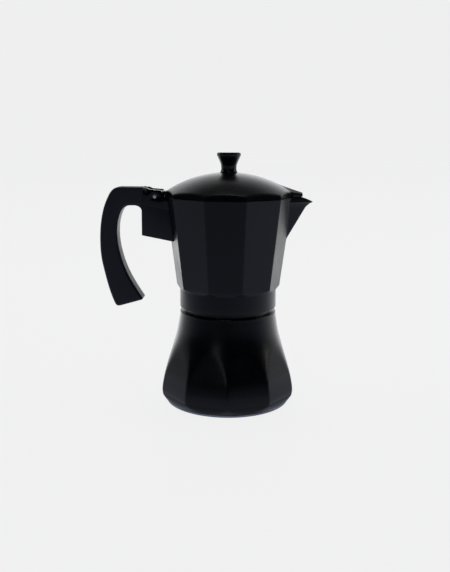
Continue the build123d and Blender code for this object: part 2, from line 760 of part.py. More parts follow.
# ---------------------------------------------------------------- knob
LID_CROWN = DOME_C + math.sqrt(DOME_R**2 - LID_PAD_R**2)
LID_CEILING = DOME_C + math.sqrt((DOME_R - LID_T) ** 2 - LID_PAD_R**2)
INSERT_R = 3.2

with BuildPart() as knob:
    with BuildSketch(Plane.XZ):
        with BuildLine():
            Polyline((0, LID_CROWN), (6.7, LID_CROWN), (6.7, LID_CROWN + 0.5))
            Spline(
                (6.7, LID_CROWN + 0.5),
                (6.0, LID_CROWN + 2.6),
                (6.15, LID_CROWN + 5.2),
                (7.2, KNOB_TOP - 7.2),
                (9.0, KNOB_TOP - 3.2),
                tangents=[(-0.6, 1), (0.5, 1)],
            )
            Polyline((9.0, KNOB_TOP - 3.2), (9.4, KNOB_TOP - 1.2), (8.5, KNOB_TOP), (0, KNOB_TOP))
            Line((0, KNOB_TOP), (0, LID_CROWN))
        make_face()
    revolve(axis=Axis.Z)
    with BuildSketch(Plane.XY.offset(LID_CROWN)):
        Circle(INSERT_R)
    extrude(amount=8.5, mode=Mode.SUBTRACT)
finish(knob.part, "knob")

with BuildPart() as knob_insert:
    with BuildSketch(Plane.XY.offset(LID_CROWN)):
        Circle(INSERT_R)
        Circle(2.0 + FIT, mode=Mode.SUBTRACT)
    extrude(amount=8)
finish(knob_insert.part, "knob_insert")

with BuildPart() as knob_washer:
    with BuildSketch(Plane.XY.offset(LID_CEILING)):
        Circle(5.0)
        Circle(2.2, mode=Mode.SUBTRACT)
    extrude(amount=-0.8)
finish(knob_washer.part, "knob_washer")

with BuildPart() as knob_screw:
    with BuildSketch(Plane.XY.offset(LID_CEILING - 0.8)):
        Circle(3.6)
    extrude(amount=-2.2)
    with BuildSketch(Plane.XY.offset(LID_CEILING - 0.8)):
        Circle(2.0)
    extrude(amount=8.6)
    with Locations((0, 0, LID_CEILING - 3.0)):
        Box(7.2, 0.9, 2.0, mode=Mode.SUBTRACT)
finish(knob_screw.part, "knob_screw")
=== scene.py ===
import logging
import math
from dataclasses import dataclass, field
from enum import Enum
from functools import reduce
from typing import Sequence

import bmesh
import bpy
import numpy as np
from mathutils import Matrix, Vector


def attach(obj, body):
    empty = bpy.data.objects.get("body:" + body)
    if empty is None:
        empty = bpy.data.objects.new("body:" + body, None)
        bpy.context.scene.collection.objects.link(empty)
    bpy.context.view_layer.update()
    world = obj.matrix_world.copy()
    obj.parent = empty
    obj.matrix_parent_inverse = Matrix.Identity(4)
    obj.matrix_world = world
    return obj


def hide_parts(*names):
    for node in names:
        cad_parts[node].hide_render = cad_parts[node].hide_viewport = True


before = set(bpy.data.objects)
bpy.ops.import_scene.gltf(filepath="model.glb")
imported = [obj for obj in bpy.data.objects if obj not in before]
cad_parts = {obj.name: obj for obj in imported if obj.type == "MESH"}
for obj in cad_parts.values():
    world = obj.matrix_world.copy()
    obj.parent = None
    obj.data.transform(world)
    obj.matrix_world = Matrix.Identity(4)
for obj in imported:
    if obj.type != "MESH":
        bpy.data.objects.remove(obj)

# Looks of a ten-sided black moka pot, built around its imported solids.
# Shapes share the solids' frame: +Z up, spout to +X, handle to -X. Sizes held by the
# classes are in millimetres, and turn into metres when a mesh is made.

Piece = bpy.types.Object
Socket = bpy.types.NodeSocket
Point = Sequence[float]
Colour = tuple[float, float, float]
Row = tuple[float, float, float]
Span = tuple[float, float, tuple[float, float]]
Looks = tuple[dict[str, object], list[tuple[Socket, float]]]

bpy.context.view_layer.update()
MM = 0.001
SIDES = 10
COS_HALF = math.cos(math.pi / SIDES)
NO_FLAT = 1000.0  # millimetres: a flat so far out that it never touches its row
log = logging.getLogger("moka_pot")


class Body(Enum):
    """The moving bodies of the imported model."""

    BOILER = "boiler"
    VALVE_PISTON = "valve_piston"
    SEAL = "seal"
    COLLECTOR = "collector"
    LID = "lid"


class Axis(Enum):
    """The line that a turned or brushed finish was worked around."""

    X = (0.0, math.pi / 2, 0.0)
    Y = (math.pi / 2, 0.0, 0.0)
    Z = (0.0, 0.0, 0.0)


class Wiring:
    """Adds and joins the nodes of one tree."""

    def __init__(self, tree: bpy.types.NodeTree) -> None:
        """Starts with an empty tree."""
        self.tree = tree
        self.tree.nodes.clear()

    def node(self, kind: str, inputs: dict | None = None, **settings: object) -> bpy.types.Node:
        """Adds one node.

        Args:
            kind: the node's type.
            inputs: values or sockets by input name or number.
            settings: the node's own properties.

        Returns:
            The new node.
        """
        made = self.tree.nodes.new(kind)
        for name, value in settings.items():
            setattr(made, name, value)
        for name, value in (inputs or {}).items():
            self.feed(made.inputs[name], value)
        return made

    def feed(self, socket: Socket, value: object) -> None:
        """Links a socket to another one, or sets its value.

        Args:
            socket: the input to feed.
            value: an output socket, or a plain value.
        """
        if isinstance(value, Socket):
            self.tree.links.new(value, socket)
        else:
            socket.default_value = value

    def math(self, operation: str, *values: object) -> Socket:
        """Adds one maths node.

        Args:
            operation: what the node does.
            values: values or sockets, in the order of its inputs.

        Returns:
            The result.
        """
        made = self.node("ShaderNodeMath", operation=operation)
        for socket, value in zip(made.inputs, values):
            self.feed(socket, value)
        return made.outputs[0]

    def times(self, *values: object) -> Socket:
        """The product of values or sockets."""
        return reduce(lambda a, b: self.math("MULTIPLY", a, b), values)

    def plus(self, *values: object) -> Socket:
        """The sum of values or sockets."""
        return reduce(lambda a, b: self.math("ADD", a, b), values)

    def minus(self, *values: object) -> Socket:
        """The first value, less all the others."""
        return reduce(lambda a, b: self.math("SUBTRACT", a, b), values)

    def noise(self, where: Socket, scale: float, detail: float = 2.0) -> Socket:
        """A noise from 0 to 1, by its features per metre and its detail."""
        inputs = {"Vector": where, "Scale": scale, "Detail": detail}
        return self.node("ShaderNodeTexNoise", inputs).outputs["Fac"]

    def span(self, value: object, low: float, high: float, to: tuple[float, float] = (0.0, 1.0)) -> Socket:
        """A value carried from the range low to high into another range, and held inside it."""
        inputs = {"Value": value, "From Min": low, "From Max": high, "To Min": to[0], "To Max": to[1]}
        return self.node("ShaderNodeMapRange", inputs).outputs["Result"]

    def blend(self, amount: object, first: Colour | Socket, second: Colour | Socket) -> Socket:
        """Mixes two colours.

        Args:
            amount: 0 for the first colour, 1 for the second.
            first: a colour, or a socket that gives one.
            second: the other colour.

        Returns:
            The colour between them.
        """
        mixed = self.node("ShaderNodeMix", {"Factor": amount}, data_type="RGBA")
        for number, colour in ((6, first), (7, second)):
            self.feed(mixed.inputs[number], colour if isinstance(colour, Socket) else (*colour, 1.0))
        return mixed.outputs[2]

    def vector(self, **parts: object) -> Socket:
        """A vector joined from its parts X, Y and Z."""
        return self.node("ShaderNodeCombineXYZ", parts).outputs[0]

    def parts(self, vector: Socket) -> Sequence[Socket]:
        """The parts X, Y and Z of a vector."""
        return self.node("ShaderNodeSeparateXYZ", {"Vector": vector}).outputs


# ------------------------------------------------------------------ finishes
class Grain(Enum):
    """The noises that finishes are mixed from: features per metre, and detail."""

    CLOUDS = (38.0, 4.0)
    PEEL = (420.0, 1.0)
    DUSTY = (260.0, 2.0)
    CHAFED = (150.0, 3.0)
    MOULD = (3200.0, 2.0)
    FLOW = (60.0, 5.0)
    RUBS = (1500.0, 1.0)
    STAINS = (90.0, 5.0)
    PITS = (1800.0, 2.0)
    TALC = (120.0, 4.0)
    SKIN = (2400.0, 1.0)


# Depths of relief are in metres. The share of the specular that is left on the lid's skirt is painted
# shade:
# where a piece carries the skirt's attribute, its reflection is cut so that the band reads dark.
PEEL_DEPTH, DUST_DEPTH = 0.00002, 0.00001
RUB_DEPTH, FLOW_DEPTH = 0.000004, 0.00006
MARK_DEPTH, PIT_DEPTH, SKIN_DEPTH = 0.000006, 0.000005, 0.00001
DUST_PER_M = 900.0
RUB_STRETCH = 0.06
SKIRT_SHADE_SHARE = 0.12


@dataclass(frozen=True)
class Finish:
    """What every finish shares: its colours, and one material made when it is first asked for."""

    name: str
    slot: str
    colour: Colour
    aged_colour: Colour
    roughness: tuple[float, float]

    def material(self) -> bpy.types.Material:
        """Makes the finish's material, or finds it again by its name.

        Returns:
            The material, with the finish's looks and its layers of relief.
        """
        title = f"{self.name}_finish"
        found = bpy.data.materials.get(title)
        if found is not None:
            return found
        made = bpy.data.materials.new(title)
        made.use_nodes = True
        w = Wiring(made.node_tree)
        inputs, layers = self.wire(w, w.node("ShaderNodeTexCoord").outputs["Object"])
        for height, depth in layers:
            bump = {"Height": height, "Distance": depth, "Strength": 1.0}
            if "Normal" in inputs:
                bump["Normal"] = inputs["Normal"]
            inputs["Normal"] = w.node("ShaderNodeBump", bump).outputs["Normal"]
        shader = w.node("ShaderNodeBsdfPrincipled", inputs)
        w.node("ShaderNodeOutputMaterial", {"Surface": shader.outputs["BSDF"]})
        return made

    def wire(self, w: Wiring, where: Socket) -> Looks:
        """Wires the finish's own colour, roughness and relief.

        Args:
            w: the material's wiring.
            where: the place on the piece, in metres.

        Returns:
            The shader's inputs, and its layers of relief as a height from 0 to 1 and a depth in metres.
        """
        raise NotImplementedError


@dataclass(frozen=True)
class Enamel(Finish):
    """Sprayed and baked paint on a casting: orange peel, fine grain and specks of dust."""

    specular: float
    grain_per_m: float
    grain_depth: float
    speck_share: float

    def wire(self, w: Wiring, where: Socket) -> Looks:
        """Wires the paint's clouding, its thin edges, grain, peel and dust, and the cut specular that
        paints shade on the lid's skirt.

        Args:
            w: the material's wiring.
            where: the place on the piece, in metres.

        Returns:
            The shader's inputs, and its layers of relief.
        """
        clouds, peel = (w.noise(where, *kind.value) for kind in (Grain.CLOUDS, Grain.PEEL))
        grain = w.noise(where, self.grain_per_m)
        dust = w.node("ShaderNodeTexVoronoi", {"Vector": where, "Scale": DUST_PER_M}).outputs["Distance"]
        specks = w.times(w.span(dust, 0.16, 0.05), w.span(w.noise(where, *Grain.DUSTY.value), 0.62, 0.7))
        # painted shade: the skirt's attribute cuts the specular so that the lid's skirt band reads dark
        edge, painted_skirt_shade = (
            w.node("ShaderNodeAttribute", attribute_name=key).outputs["Fac"] for key in ("edge", "painted_skirt_shade"))
        chafed = w.span(w.noise(where, *Grain.CHAFED.value), 0.42, 0.7, (0.1, 1.0))
        aged = w.plus(w.times(edge, chafed, 0.55), w.times(specks, self.speck_share),
                      w.span(clouds, 0.35, 0.7, (0.0, 0.16)))
        rough = w.span(w.plus(clouds, w.times(grain, 0.6)), 0.5, 1.1, self.roughness)
        inputs = {
            "Base Color": w.blend(aged, self.colour, self.aged_colour),
            "Roughness": w.plus(rough, w.times(specks, 0.12)),
            "Specular IOR Level": w.span(painted_skirt_shade, 0.0, 1.0, (self.specular, self.specular * SKIRT_SHADE_SHARE)),
        }
        return inputs, [(grain, self.grain_depth), (peel, PEEL_DEPTH), (specks, DUST_DEPTH)]


@dataclass(frozen=True)
class Moulding(Finish):
    """Moulded heat-proof plastic: a fine spark-eroded grain, flow marks and hairline rubs."""

    specular: float
    grain_depth: float

    def wire(self, w: Wiring, where: Socket) -> Looks:
        """Wires the mottled colour, the moulded grain and long faint rubs.

        Args:
            w: the material's wiring.
            where: the place on the piece, in metres.

        Returns:
            The shader's inputs, and its layers of relief.
        """
        grain, flow = (w.noise(where, *kind.value) for kind in (Grain.MOULD, Grain.FLOW))
        drawn = w.node("ShaderNodeMapping", {"Vector": where, "Scale": (1.0, 1.0, RUB_STRETCH)}).outputs[0]
        rubs = w.span(w.noise(drawn, *Grain.RUBS.value), 0.66, 0.74)
        mottle = w.plus(w.span(flow, 0.35, 0.75, (0.0, 0.5)), w.times(rubs, 0.35))
        inputs = {
            "Base Color": w.blend(mottle, self.colour, self.aged_colour),
            "Roughness": w.span(w.plus(flow, grain), 0.6, 1.4, self.roughness),
            "Specular IOR Level": self.specular,
        }
        return inputs, [(grain, self.grain_depth), (rubs, RUB_DEPTH), (flow, FLOW_DEPTH)]


@dataclass(frozen=True)
class WorkedMetal(Finish):
    """Bare metal with turning or drawing marks round an axis, faint stains and soft wear."""

    axis: Axis = Axis.Z
    waves_per_m: float = 2600.0 / 6.0

    def wire(self, w: Wiring, where: Socket) -> Looks:
        """Wires the rings of the tool and the stains between them.

        Args:
            w: the material's wiring.
            where: the place on the piece, in metres.

        Returns:
            The shader's inputs, and its layers of relief.
        """
        about = w.node("ShaderNodeMapping", {"Vector": where, "Rotation": self.axis.value}).outputs[0]
        marks = {"Vector": about, "Scale": self.waves_per_m, "Distortion": 1.2, "Detail": 2.0}
        rings = w.node("ShaderNodeTexWave", marks, wave_type="RINGS", rings_direction="Z").outputs["Fac"]
        stains, pits = (w.noise(where, *kind.value) for kind in (Grain.STAINS, Grain.PITS))
        inputs = {
            "Base Color": w.blend(w.span(stains, 0.4, 0.72, (0.0, 0.8)), self.colour, self.aged_colour),
            "Roughness": w.span(w.plus(w.times(rings, 0.4), stains), 0.4, 1.1, self.roughness),
            "Metallic": 1.0,
        }
        return inputs, [(rings, MARK_DEPTH), (pits, PIT_DEPTH)]


class Rubber(Finish):
    """White silicone: dull, a little waxy, with talc-like mottling."""

    def wire(self, w: Wiring, where: Socket) -> Looks:
        """Wires the mottled white and its fine skin.

        Args:
            w: the material's wiring.
            where: the place on the piece, in metres.

        Returns:
            The shader's inputs, and its layers of relief.
        """
        talc, skin = (w.noise(where, *kind.value) for kind in (Grain.TALC, Grain.SKIN))
        inputs = {
            "Base Color": w.blend(talc, self.colour, self.aged_colour),
            "Roughness": w.span(talc, 0.3, 0.7, self.roughness),
        }
        return inputs, [(skin, SKIN_DEPTH)]


BODY_PAINT = Enamel("body_paint", "body_paint", (0.0006, 0.0007, 0.0011), (0.005, 0.0054, 0.0075),
                    (0.22, 0.32), 0.2, 2600.0, 0.000006, 0.3)
CHAMBER_PAINT = Enamel("chamber_paint", "chamber_paint", (0.0016, 0.002, 0.0032), (0.009, 0.0098, 0.0125),
                       (0.32, 0.44), 0.21, 2100.0, 0.000022, 0.8)
LID_PAINT = Enamel("lid_paint", "body_paint", (0.001, 0.0011, 0.0016), (0.007, 0.0076, 0.01),
                   (0.22, 0.32), 0.24, 2600.0, 0.00001, 0.5)
BRACKET_PAINT = Enamel("bracket_paint", "bracket_paint", (0.0005, 0.0005, 0.0008), (0.004, 0.004, 0.0055),
                       (0.1, 0.2), 0.26, 1800.0, 0.000002, 0.2)
HANDLE_PLASTIC = Moulding("handle_plastic", "handle_plastic", (0.0046, 0.0055, 0.0105),
                          (0.009, 0.0102, 0.0165), (0.42, 0.56), 0.3, 0.000014)
KNOB_PLASTIC = Moulding("knob_plastic", "knob_plastic", (0.0018, 0.002, 0.0034),
                        (0.0055, 0.006, 0.0085), (0.18, 0.28), 0.19, 0.000006)
BASE_STEEL = WorkedMetal("base_steel", "base_steel", (0.2, 0.21, 0.23), (0.13, 0.13, 0.14), (0.2, 0.34))
FASTENER_STEEL = WorkedMetal("fastener_steel", "fastener_steel", (0.56, 0.56, 0.57), (0.4, 0.39, 0.38),
                             (0.2, 0.38))
PIN_STEEL = WorkedMetal("pin_steel", "fastener_steel", (0.58, 0.58, 0.6), (0.42, 0.41, 0.4),
                        (0.18, 0.34), Axis.Y)
SCREW_STEEL = WorkedMetal("handle_screw_steel", "fastener_steel", (0.56, 0.56, 0.57), (0.4, 0.39, 0.38),
                          (0.2, 0.38), Axis.X)
SPRING_STEEL = WorkedMetal("spring_steel", "spring_steel", (0.5, 0.5, 0.52), (0.36, 0.35, 0.35),
                           (0.16, 0.3), Axis.Y)
VALVE_BRASS = WorkedMetal("valve_brass", "valve_brass", (0.66, 0.47, 0.2), (0.4, 0.25, 0.1),
                          (0.22, 0.42), Axis.Y)
BARE_ALUMINIUM = WorkedMetal("bare_aluminium", "bare_aluminium", (0.66, 0.67, 0.68), (0.46, 0.46, 0.46),
                             (0.3, 0.5), Axis.Z, 1400.0 / 6.0)
SEAL_SILICONE = Rubber("seal_silicone", "seal_silicone", (0.78, 0.78, 0.76), (0.66, 0.66, 0.63),
                       (0.5, 0.66))


# ------------------------------------------------------------------ mesh tools
CLOSEST_ANGLE = 0.12  # degrees between two columns of a turned piece
DOUBLES, SOLID_DOUBLES = 0.000002, 0.000004  # metres within which points are merged
EVEN_ANGLE = 0.6  # degrees below which two faces of a solid count as one


def added(name: str, data: bpy.types.ID) -> Piece:
    """Puts a new object into the scene.

    Args:
        name: its name.
        data: its mesh, lamp or camera.

    Returns:
        The object.
    """
    made = bpy.data.objects.new(name, data)
    bpy.context.scene.collection.objects.link(made)
    return made


def smooth_max(a: np.ndarray, b: np.ndarray, reach: float | np.ndarray) -> np.ndarray:
    """The larger of two heights, with their meeting filled over a reach."""
    h = np.clip(reach - np.abs(a - b), 0.0, None) / reach
    return np.maximum(a, b) + h**3 * reach / 6.0


def smooth_min(a: np.ndarray, b: np.ndarray, reach: float | np.ndarray) -> np.ndarray:
    """The smaller of two heights, with their meeting cut back over a reach."""
    return -smooth_max(-a, -b, reach)


def curve_through(points: Sequence[Point], steps: int) -> list[tuple[float, ...]]:
    """A smooth line through points, each span cut into steps.

    Args:
        points: the points to pass, of any number of values each.
        steps: how many steps each span gets.

    Returns:
        The points of the line, both ends included.
    """
    p = np.array(points, float)
    ends = np.vstack([2 * p[0] - p[1], p, 2 * p[-1] - p[-2]])
    line = []
    for a, b, c, d in zip(ends, ends[1:], ends[2:], ends[3:]):
        for t in np.arange(steps) / steps:
            line.append(0.5 * (2 * b + (c - a) * t + (2 * a - 5 * b + 4 * c - d) * t**2
                               + (3 * b - a - 3 * c + d) * t**3))
    return [tuple(q) for q in line] + [tuple(p[-1])]


def rounded(before: Point, corner: Point, after: Point, radius: float,
            steps: int = 4) -> list[tuple[float, ...]]:
    """A corner of a profile, rounded by a quadratic bend.

    Args:
        before: a point on the way in.
        corner: the corner itself.
        after: a point on the way out.
        radius: how far along each side the bend begins.
        steps: how many steps the bend has.

    Returns:
        The points of the bend.
    """
    p, c, n = (np.array(q, float) for q in (before, corner, after))
    a = c + (p - c) * min(0.5, radius / np.linalg.norm(p[:2] - c[:2]))
    b = c + (n - c) * min(0.5, radius / np.linalg.norm(n[:2] - c[:2]))
    return [tuple((1 - t) ** 2 * a + 2 * t * (1 - t) * c + t**2 * b) for t in np.linspace(0, 1, steps + 1)]


def plain(radius: float, height: float) -> Row:
    """A row with no flats."""
    return radius, height, NO_FLAT


def faceted(radius: float, height: float, fade: float = 0.0) -> Row:
    """A row with ten full flats, or with flats that have faded by a share into the round."""
    return radius, height, radius * (COS_HALF + (1 - COS_HALF) * fade)


def plains(*points: Point) -> list[Row]:
    """Rows with no flats, from points of radius and height."""
    return [plain(*point) for point in points]


def bend(before: Point, corner: Point, after: Point, radius: float, steps: int = 4) -> list[Row]:
    """Rows with no flats round the corner that rounded() draws."""
    return plains(*rounded(before, corner, after, radius, steps))


def round_angles(step: float) -> np.ndarray:
    """Angles in radians over one turn, a step in degrees apart."""
    return np.radians(np.arange(0, 360, step))


def side_angles(turn: float, fine_at: Point = ()) -> np.ndarray:
    """Angles round a ten-sided shape, close together at its edges.

    Args:
        turn: the angle of one flat's middle, in degrees.
        fine_at: more local angles from the spout's middle, in degrees, for the spout's own detail.

    Returns:
        Sorted angles in radians, over one turn.
    """
    local = (0.0, 5.0, 9.0, 12.5, 14.8, 16.2, 17.0, 17.4, 17.7, 17.9)
    side = 360.0 / SIDES
    steps = {s * a for a in local for s in (1, -1)} | {side / 2}
    angles = {round((turn + side * k + a) % 360.0, 4) for k in range(SIDES) for a in steps}
    angles |= {round(s * a % 360.0, 4) for a in fine_at for s in (1, -1)}
    kept: list[float] = []
    for a in sorted(angles):
        if not kept or a - kept[-1] > CLOSEST_ANGLE:
            kept.append(a)
    return np.radians(kept)


def turned(name: str, rows: Sequence[Row], angles: np.ndarray, loop: bool = False) -> Piece:
    """A shape of revolution whose rows remember the flats that will be pressed into it.

    Args:
        name: the new object's name.
        rows: radius, height and the flats' distance from the axis, for each row, in millimetres.
        angles: the angles of the columns, in radians.
        loop: whether the last row joins the first, as on a shape with a hole through it.

    Returns:
        An object whose mesh has one vertex per row and column, and poles where a radius is 0.
    """
    verts: list[tuple[float, float, float]] = []
    flats: list[float] = []
    index: list[list[int]] = []
    count = len(angles)
    for radius, height, flat in rows:
        if radius < 1e-6:
            index.append([len(verts)] * count)
            verts.append((0.0, 0.0, height * MM))
            flats.append(NO_FLAT * MM)
            continue
        index.append(list(range(len(verts), len(verts) + count)))
        for a in angles:
            verts.append((radius * MM * math.cos(a), radius * MM * math.sin(a), height * MM))
            flats.append(flat * MM)
    pairs = list(zip(index, index[1:])) + ([(index[-1], index[0])] if loop else [])
    faces = []
    for low, high in pairs:
        for j in range(count):
            k = (j + 1) % count
            corners = [low[j], low[k], high[k], high[j]]
            ring = [v for n, v in enumerate(corners) if v not in corners[:n]]
            if len(ring) > 2:
                faces.append(ring)
    mesh = bpy.data.meshes.new(name)
    mesh.from_pydata(verts, [], faces)
    mesh.attributes.new("flat", "FLOAT", "POINT").data.foreach_set("value", flats)
    return added(name, mesh)


def places(piece: Piece) -> np.ndarray:
    """Reads the vertices of a piece.

    Args:
        piece: the object to read.

    Returns:
        Their places in millimetres, one row each.
    """
    co = np.empty(len(piece.data.vertices) * 3)
    piece.data.vertices.foreach_get("co", co)
    return co.reshape(-1, 3) / MM


def put(piece: Piece, co: np.ndarray) -> None:
    """Moves the vertices of a piece to places given in millimetres."""
    piece.data.vertices.foreach_set("co", (co * MM).ravel())
    piece.data.update()


def close_up(piece: Piece, crease: float = 40.0) -> Piece:
    """Merges doubles, points the faces outwards and shades smooth between creases.

    Args:
        piece: the object to finish.
        crease: the angle in degrees above which an edge stays sharp.

    Returns:
        The same object.
    """
    bm = bmesh.new()
    bm.from_mesh(piece.data)
    bmesh.ops.remove_doubles(bm, verts=bm.verts, dist=DOUBLES)
    bmesh.ops.recalc_face_normals(bm, faces=bm.faces)
    for e in bm.edges:
        e.smooth = len(e.link_faces) == 2 and e.calc_face_angle(0.0) < math.radians(crease)
    for f in bm.faces:
        f.smooth = True
    bm.to_mesh(piece.data)
    bm.free()
    return piece


def applied(piece: Piece) -> Piece:
    """Turns a piece's modifiers into plain mesh and removes them.

    Args:
        piece: the object with the modifiers.

    Returns:
        The same object.
    """
    graph = bpy.context.evaluated_depsgraph_get()
    mesh = bpy.data.meshes.new_from_object(piece.evaluated_get(graph), depsgraph=graph)
    old = piece.data
    piece.modifiers.clear()
    piece.data = mesh
    mesh.name = piece.name
    if old.users == 0:
        bpy.data.meshes.remove(old)
    return piece


def joined(first: Piece, *others: Piece) -> Piece:
    """Adds the meshes of other objects to the first and removes them.

    Args:
        first: the object that is kept.
        others: the objects that are used up.

    Returns:
        The first object.
    """
    bm = bmesh.new()
    bm.from_mesh(first.data)
    for other in others:
        bm.from_mesh(other.data)
        bpy.data.objects.remove(other)
    bm.to_mesh(first.data)
    bm.free()
    return first


def ease(piece: Piece, width: float, segments: int, angle: float) -> None:
    """Adds a bevel to the edges that bend more than an angle.

    Args:
        piece: the object whose edges are eased.
        width: the bevel's width, in millimetres.
        segments: how many faces round each edge.
        angle: the angle in degrees.
    """
    bevel = piece.modifiers.new("eased_edges", "BEVEL")
    bevel.width, bevel.segments = width * MM, segments
    bevel.limit_method, bevel.angle_limit = "ANGLE", math.radians(angle)


def block(name: str, outline: Sequence[tuple[float, float]], half: float, edge: float) -> Piece:
    """A slab with rounded edges, drawn by its outline in x and z and centred on y = 0.

    Args:
        name: the new object's name.
        outline: the outline's points in millimetres.
        half: half of its width along y, in millimetres.
        edge: how far its edges are rounded, in millimetres.

    Returns:
        The closed slab.
    """
    bm = bmesh.new()
    near = [bm.verts.new((x * MM, -half * MM, z * MM)) for x, z in outline]
    far = [bm.verts.new((x * MM, half * MM, z * MM)) for x, z in outline]
    bm.faces.new(near)
    bm.faces.new(list(reversed(far)))
    for k in range(len(near)):
        n = (k + 1) % len(near)
        bm.faces.new((near[n], near[k], far[k], far[n]))
    bmesh.ops.recalc_face_normals(bm, faces=bm.faces)
    mesh = bpy.data.meshes.new(name)
    bm.to_mesh(mesh)
    bm.free()
    made = added(name, mesh)
    ease(made, edge, 4, 35.0)
    return applied(made)


def softened(node: str, name: str, edge: float, segments: int = 3,
             cutters: Sequence[Piece] = ()) -> Piece:
    """A piece cut to a solid's own shape, with its sharp edges eased.

    Args:
        node: the solid it takes its shape from.
        name: the new object's name.
        edge: the width of the eased edge, in millimetres.
        segments: how many faces round each edge.
        cutters: closed pieces cut away from it first, and used up.

    Returns:
        The closed piece.
    """
    made = added(name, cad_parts[node].data.copy())
    bm = bmesh.new()
    bm.from_mesh(made.data)
    bmesh.ops.remove_doubles(bm, verts=bm.verts, dist=SOLID_DOUBLES)
    bmesh.ops.dissolve_limit(bm, angle_limit=math.radians(EVEN_ANGLE), verts=bm.verts, edges=bm.edges)
    bm.to_mesh(made.data)
    bm.free()
    for cutter in cutters:
        cut = made.modifiers.new("cut", "BOOLEAN")
        cut.operation, cut.object, cut.solver = "DIFFERENCE", cutter, "EXACT"
    ease(made, edge, segments, 38.0)
    applied(made)
    for cutter in cutters:
        bpy.data.objects.remove(cutter)
    return close_up(made, 30.0)


def settle(piece: Piece, body: Body, finish: Finish, node: str) -> None:
    """Gives a piece its finish, fixes it to its body and hides the solid it stands for.

    Args:
        piece: the finished piece.
        body: the body it moves with.
        finish: its finish, whose material the piece gets.
        node: the solid that it replaces.
    """
    piece.data.materials.clear()
    piece.data.materials.append(finish.material())
    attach(piece, body.value)
    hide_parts(node)
    log.info("%s: %d faces on body %s", piece.name, len(piece.data.polygons), body.value)


# ------------------------------------------------------------------ patterns in nodes
class Pattern:
    """A Geometry Nodes tree with named sizes, run once on a piece and then taken off it."""

    def __init__(self, name: str, sizes: dict[str, float]) -> None:
        """Opens a tree.

        Args:
            name: the tree's name.
            sizes: its inputs by name, in metres or radians.
        """
        self.sizes = sizes
        self.tree = bpy.data.node_groups.new(name, "GeometryNodeTree")
        face = self.tree.interface
        for way in ("INPUT", "OUTPUT"):
            face.new_socket("Geometry", in_out=way, socket_type="NodeSocketGeometry")
        self.sockets = {
            key: face.new_socket(key, in_out="INPUT", socket_type="NodeSocketFloat") for key in sizes
        }
        self.wiring = Wiring(self.tree)
        self.entry = self.wiring.node("NodeGroupInput")

    def size(self, key: str) -> Socket:
        """One named input of the tree."""
        return self.entry.outputs[key]

    def end(self, geometry: Socket) -> None:
        """Closes the tree with what it gives back."""
        self.wiring.node("NodeGroupOutput", {"Geometry": geometry})

    def run(self, piece: Piece) -> Piece:
        """Runs the tree on a piece and keeps the result as plain mesh.

        Args:
            piece: the object to change.

        Returns:
            The same object.
        """
        modifier = piece.modifiers.new(self.tree.name, "NODES")
        modifier.node_group = self.tree
        for key, value in self.sizes.items():
            modifier[self.sockets[key].identifier] = value
        return applied(piece)

    def fresh(self, name: str) -> Piece:
        """Runs the tree on an empty new piece."""
        return self.run(added(name, bpy.data.meshes.new(name)))


class PressedFlats(Pattern):
    """Presses flats into a turned shape, with eased edges where two flats meet.

    The distance of the flats from the axis is read from the point attribute "flat", so one
    shape may be round at one height and ten-sided at another. The tree also leaves the
    attribute "edge", which is 1 along the edges between flats.
    """

    def __init__(self, name: str, turn: float, rounding: float, fade: float) -> None:
        """Wires the rule.

        Args:
            name: the tree's name.
            turn: the angle of one flat's middle, in degrees.
            rounding: how far the edges between flats are eased, in millimetres.
            fade: how softly a flat runs out into the round, in millimetres.
        """
        super().__init__(name, {
            "Sides": float(SIDES), "Turn": math.radians(turn), "Rounding": rounding * MM, "Fade": fade * MM,
        })
        w = self.wiring
        x, y, z = w.parts(w.node("GeometryNodeInputPosition").outputs[0])
        radius = w.math("SQRT", w.plus(w.times(x, x), w.times(y, y)))
        half = w.math("DIVIDE", math.pi, self.size("Sides"))
        angle = w.minus(w.math("ARCTAN2", y, x), self.size("Turn"))
        local = w.math("ABSOLUTE", w.math("WRAP", angle, half, w.times(half, -1.0)))
        flat = w.node("GeometryNodeInputNamedAttribute", {"Name": "flat"}, data_type="FLOAT").outputs[0]
        here, beyond = (w.math("DIVIDE", flat, w.math("COSINE", off))
                        for off in (local, w.minus(w.times(half, 2.0), local)))
        pressed = w.math("SMOOTH_MIN", here, beyond, self.size("Rounding"))
        result = w.math("SMOOTH_MIN", radius, pressed, self.size("Fade"))
        scale = w.math("DIVIDE", result, w.math("MAXIMUM", radius, 1e-6))
        near = w.span(w.math("ABSOLUTE", w.minus(here, beyond)), 1.2 * MM, 0.0)
        held = w.span(w.minus(radius, pressed), -0.4 * MM, 0.0)
        marked = w.node("GeometryNodeStoreNamedAttribute", {
            "Geometry": self.entry.outputs["Geometry"], "Name": "edge", "Value": w.times(near, held),
        }, data_type="FLOAT", domain="POINT")
        moved = w.vector(X=w.times(x, scale), Y=w.times(y, scale), Z=z)
        self.end(w.node("GeometryNodeSetPosition", {
            "Geometry": marked.outputs[0], "Position": moved}).outputs[0])


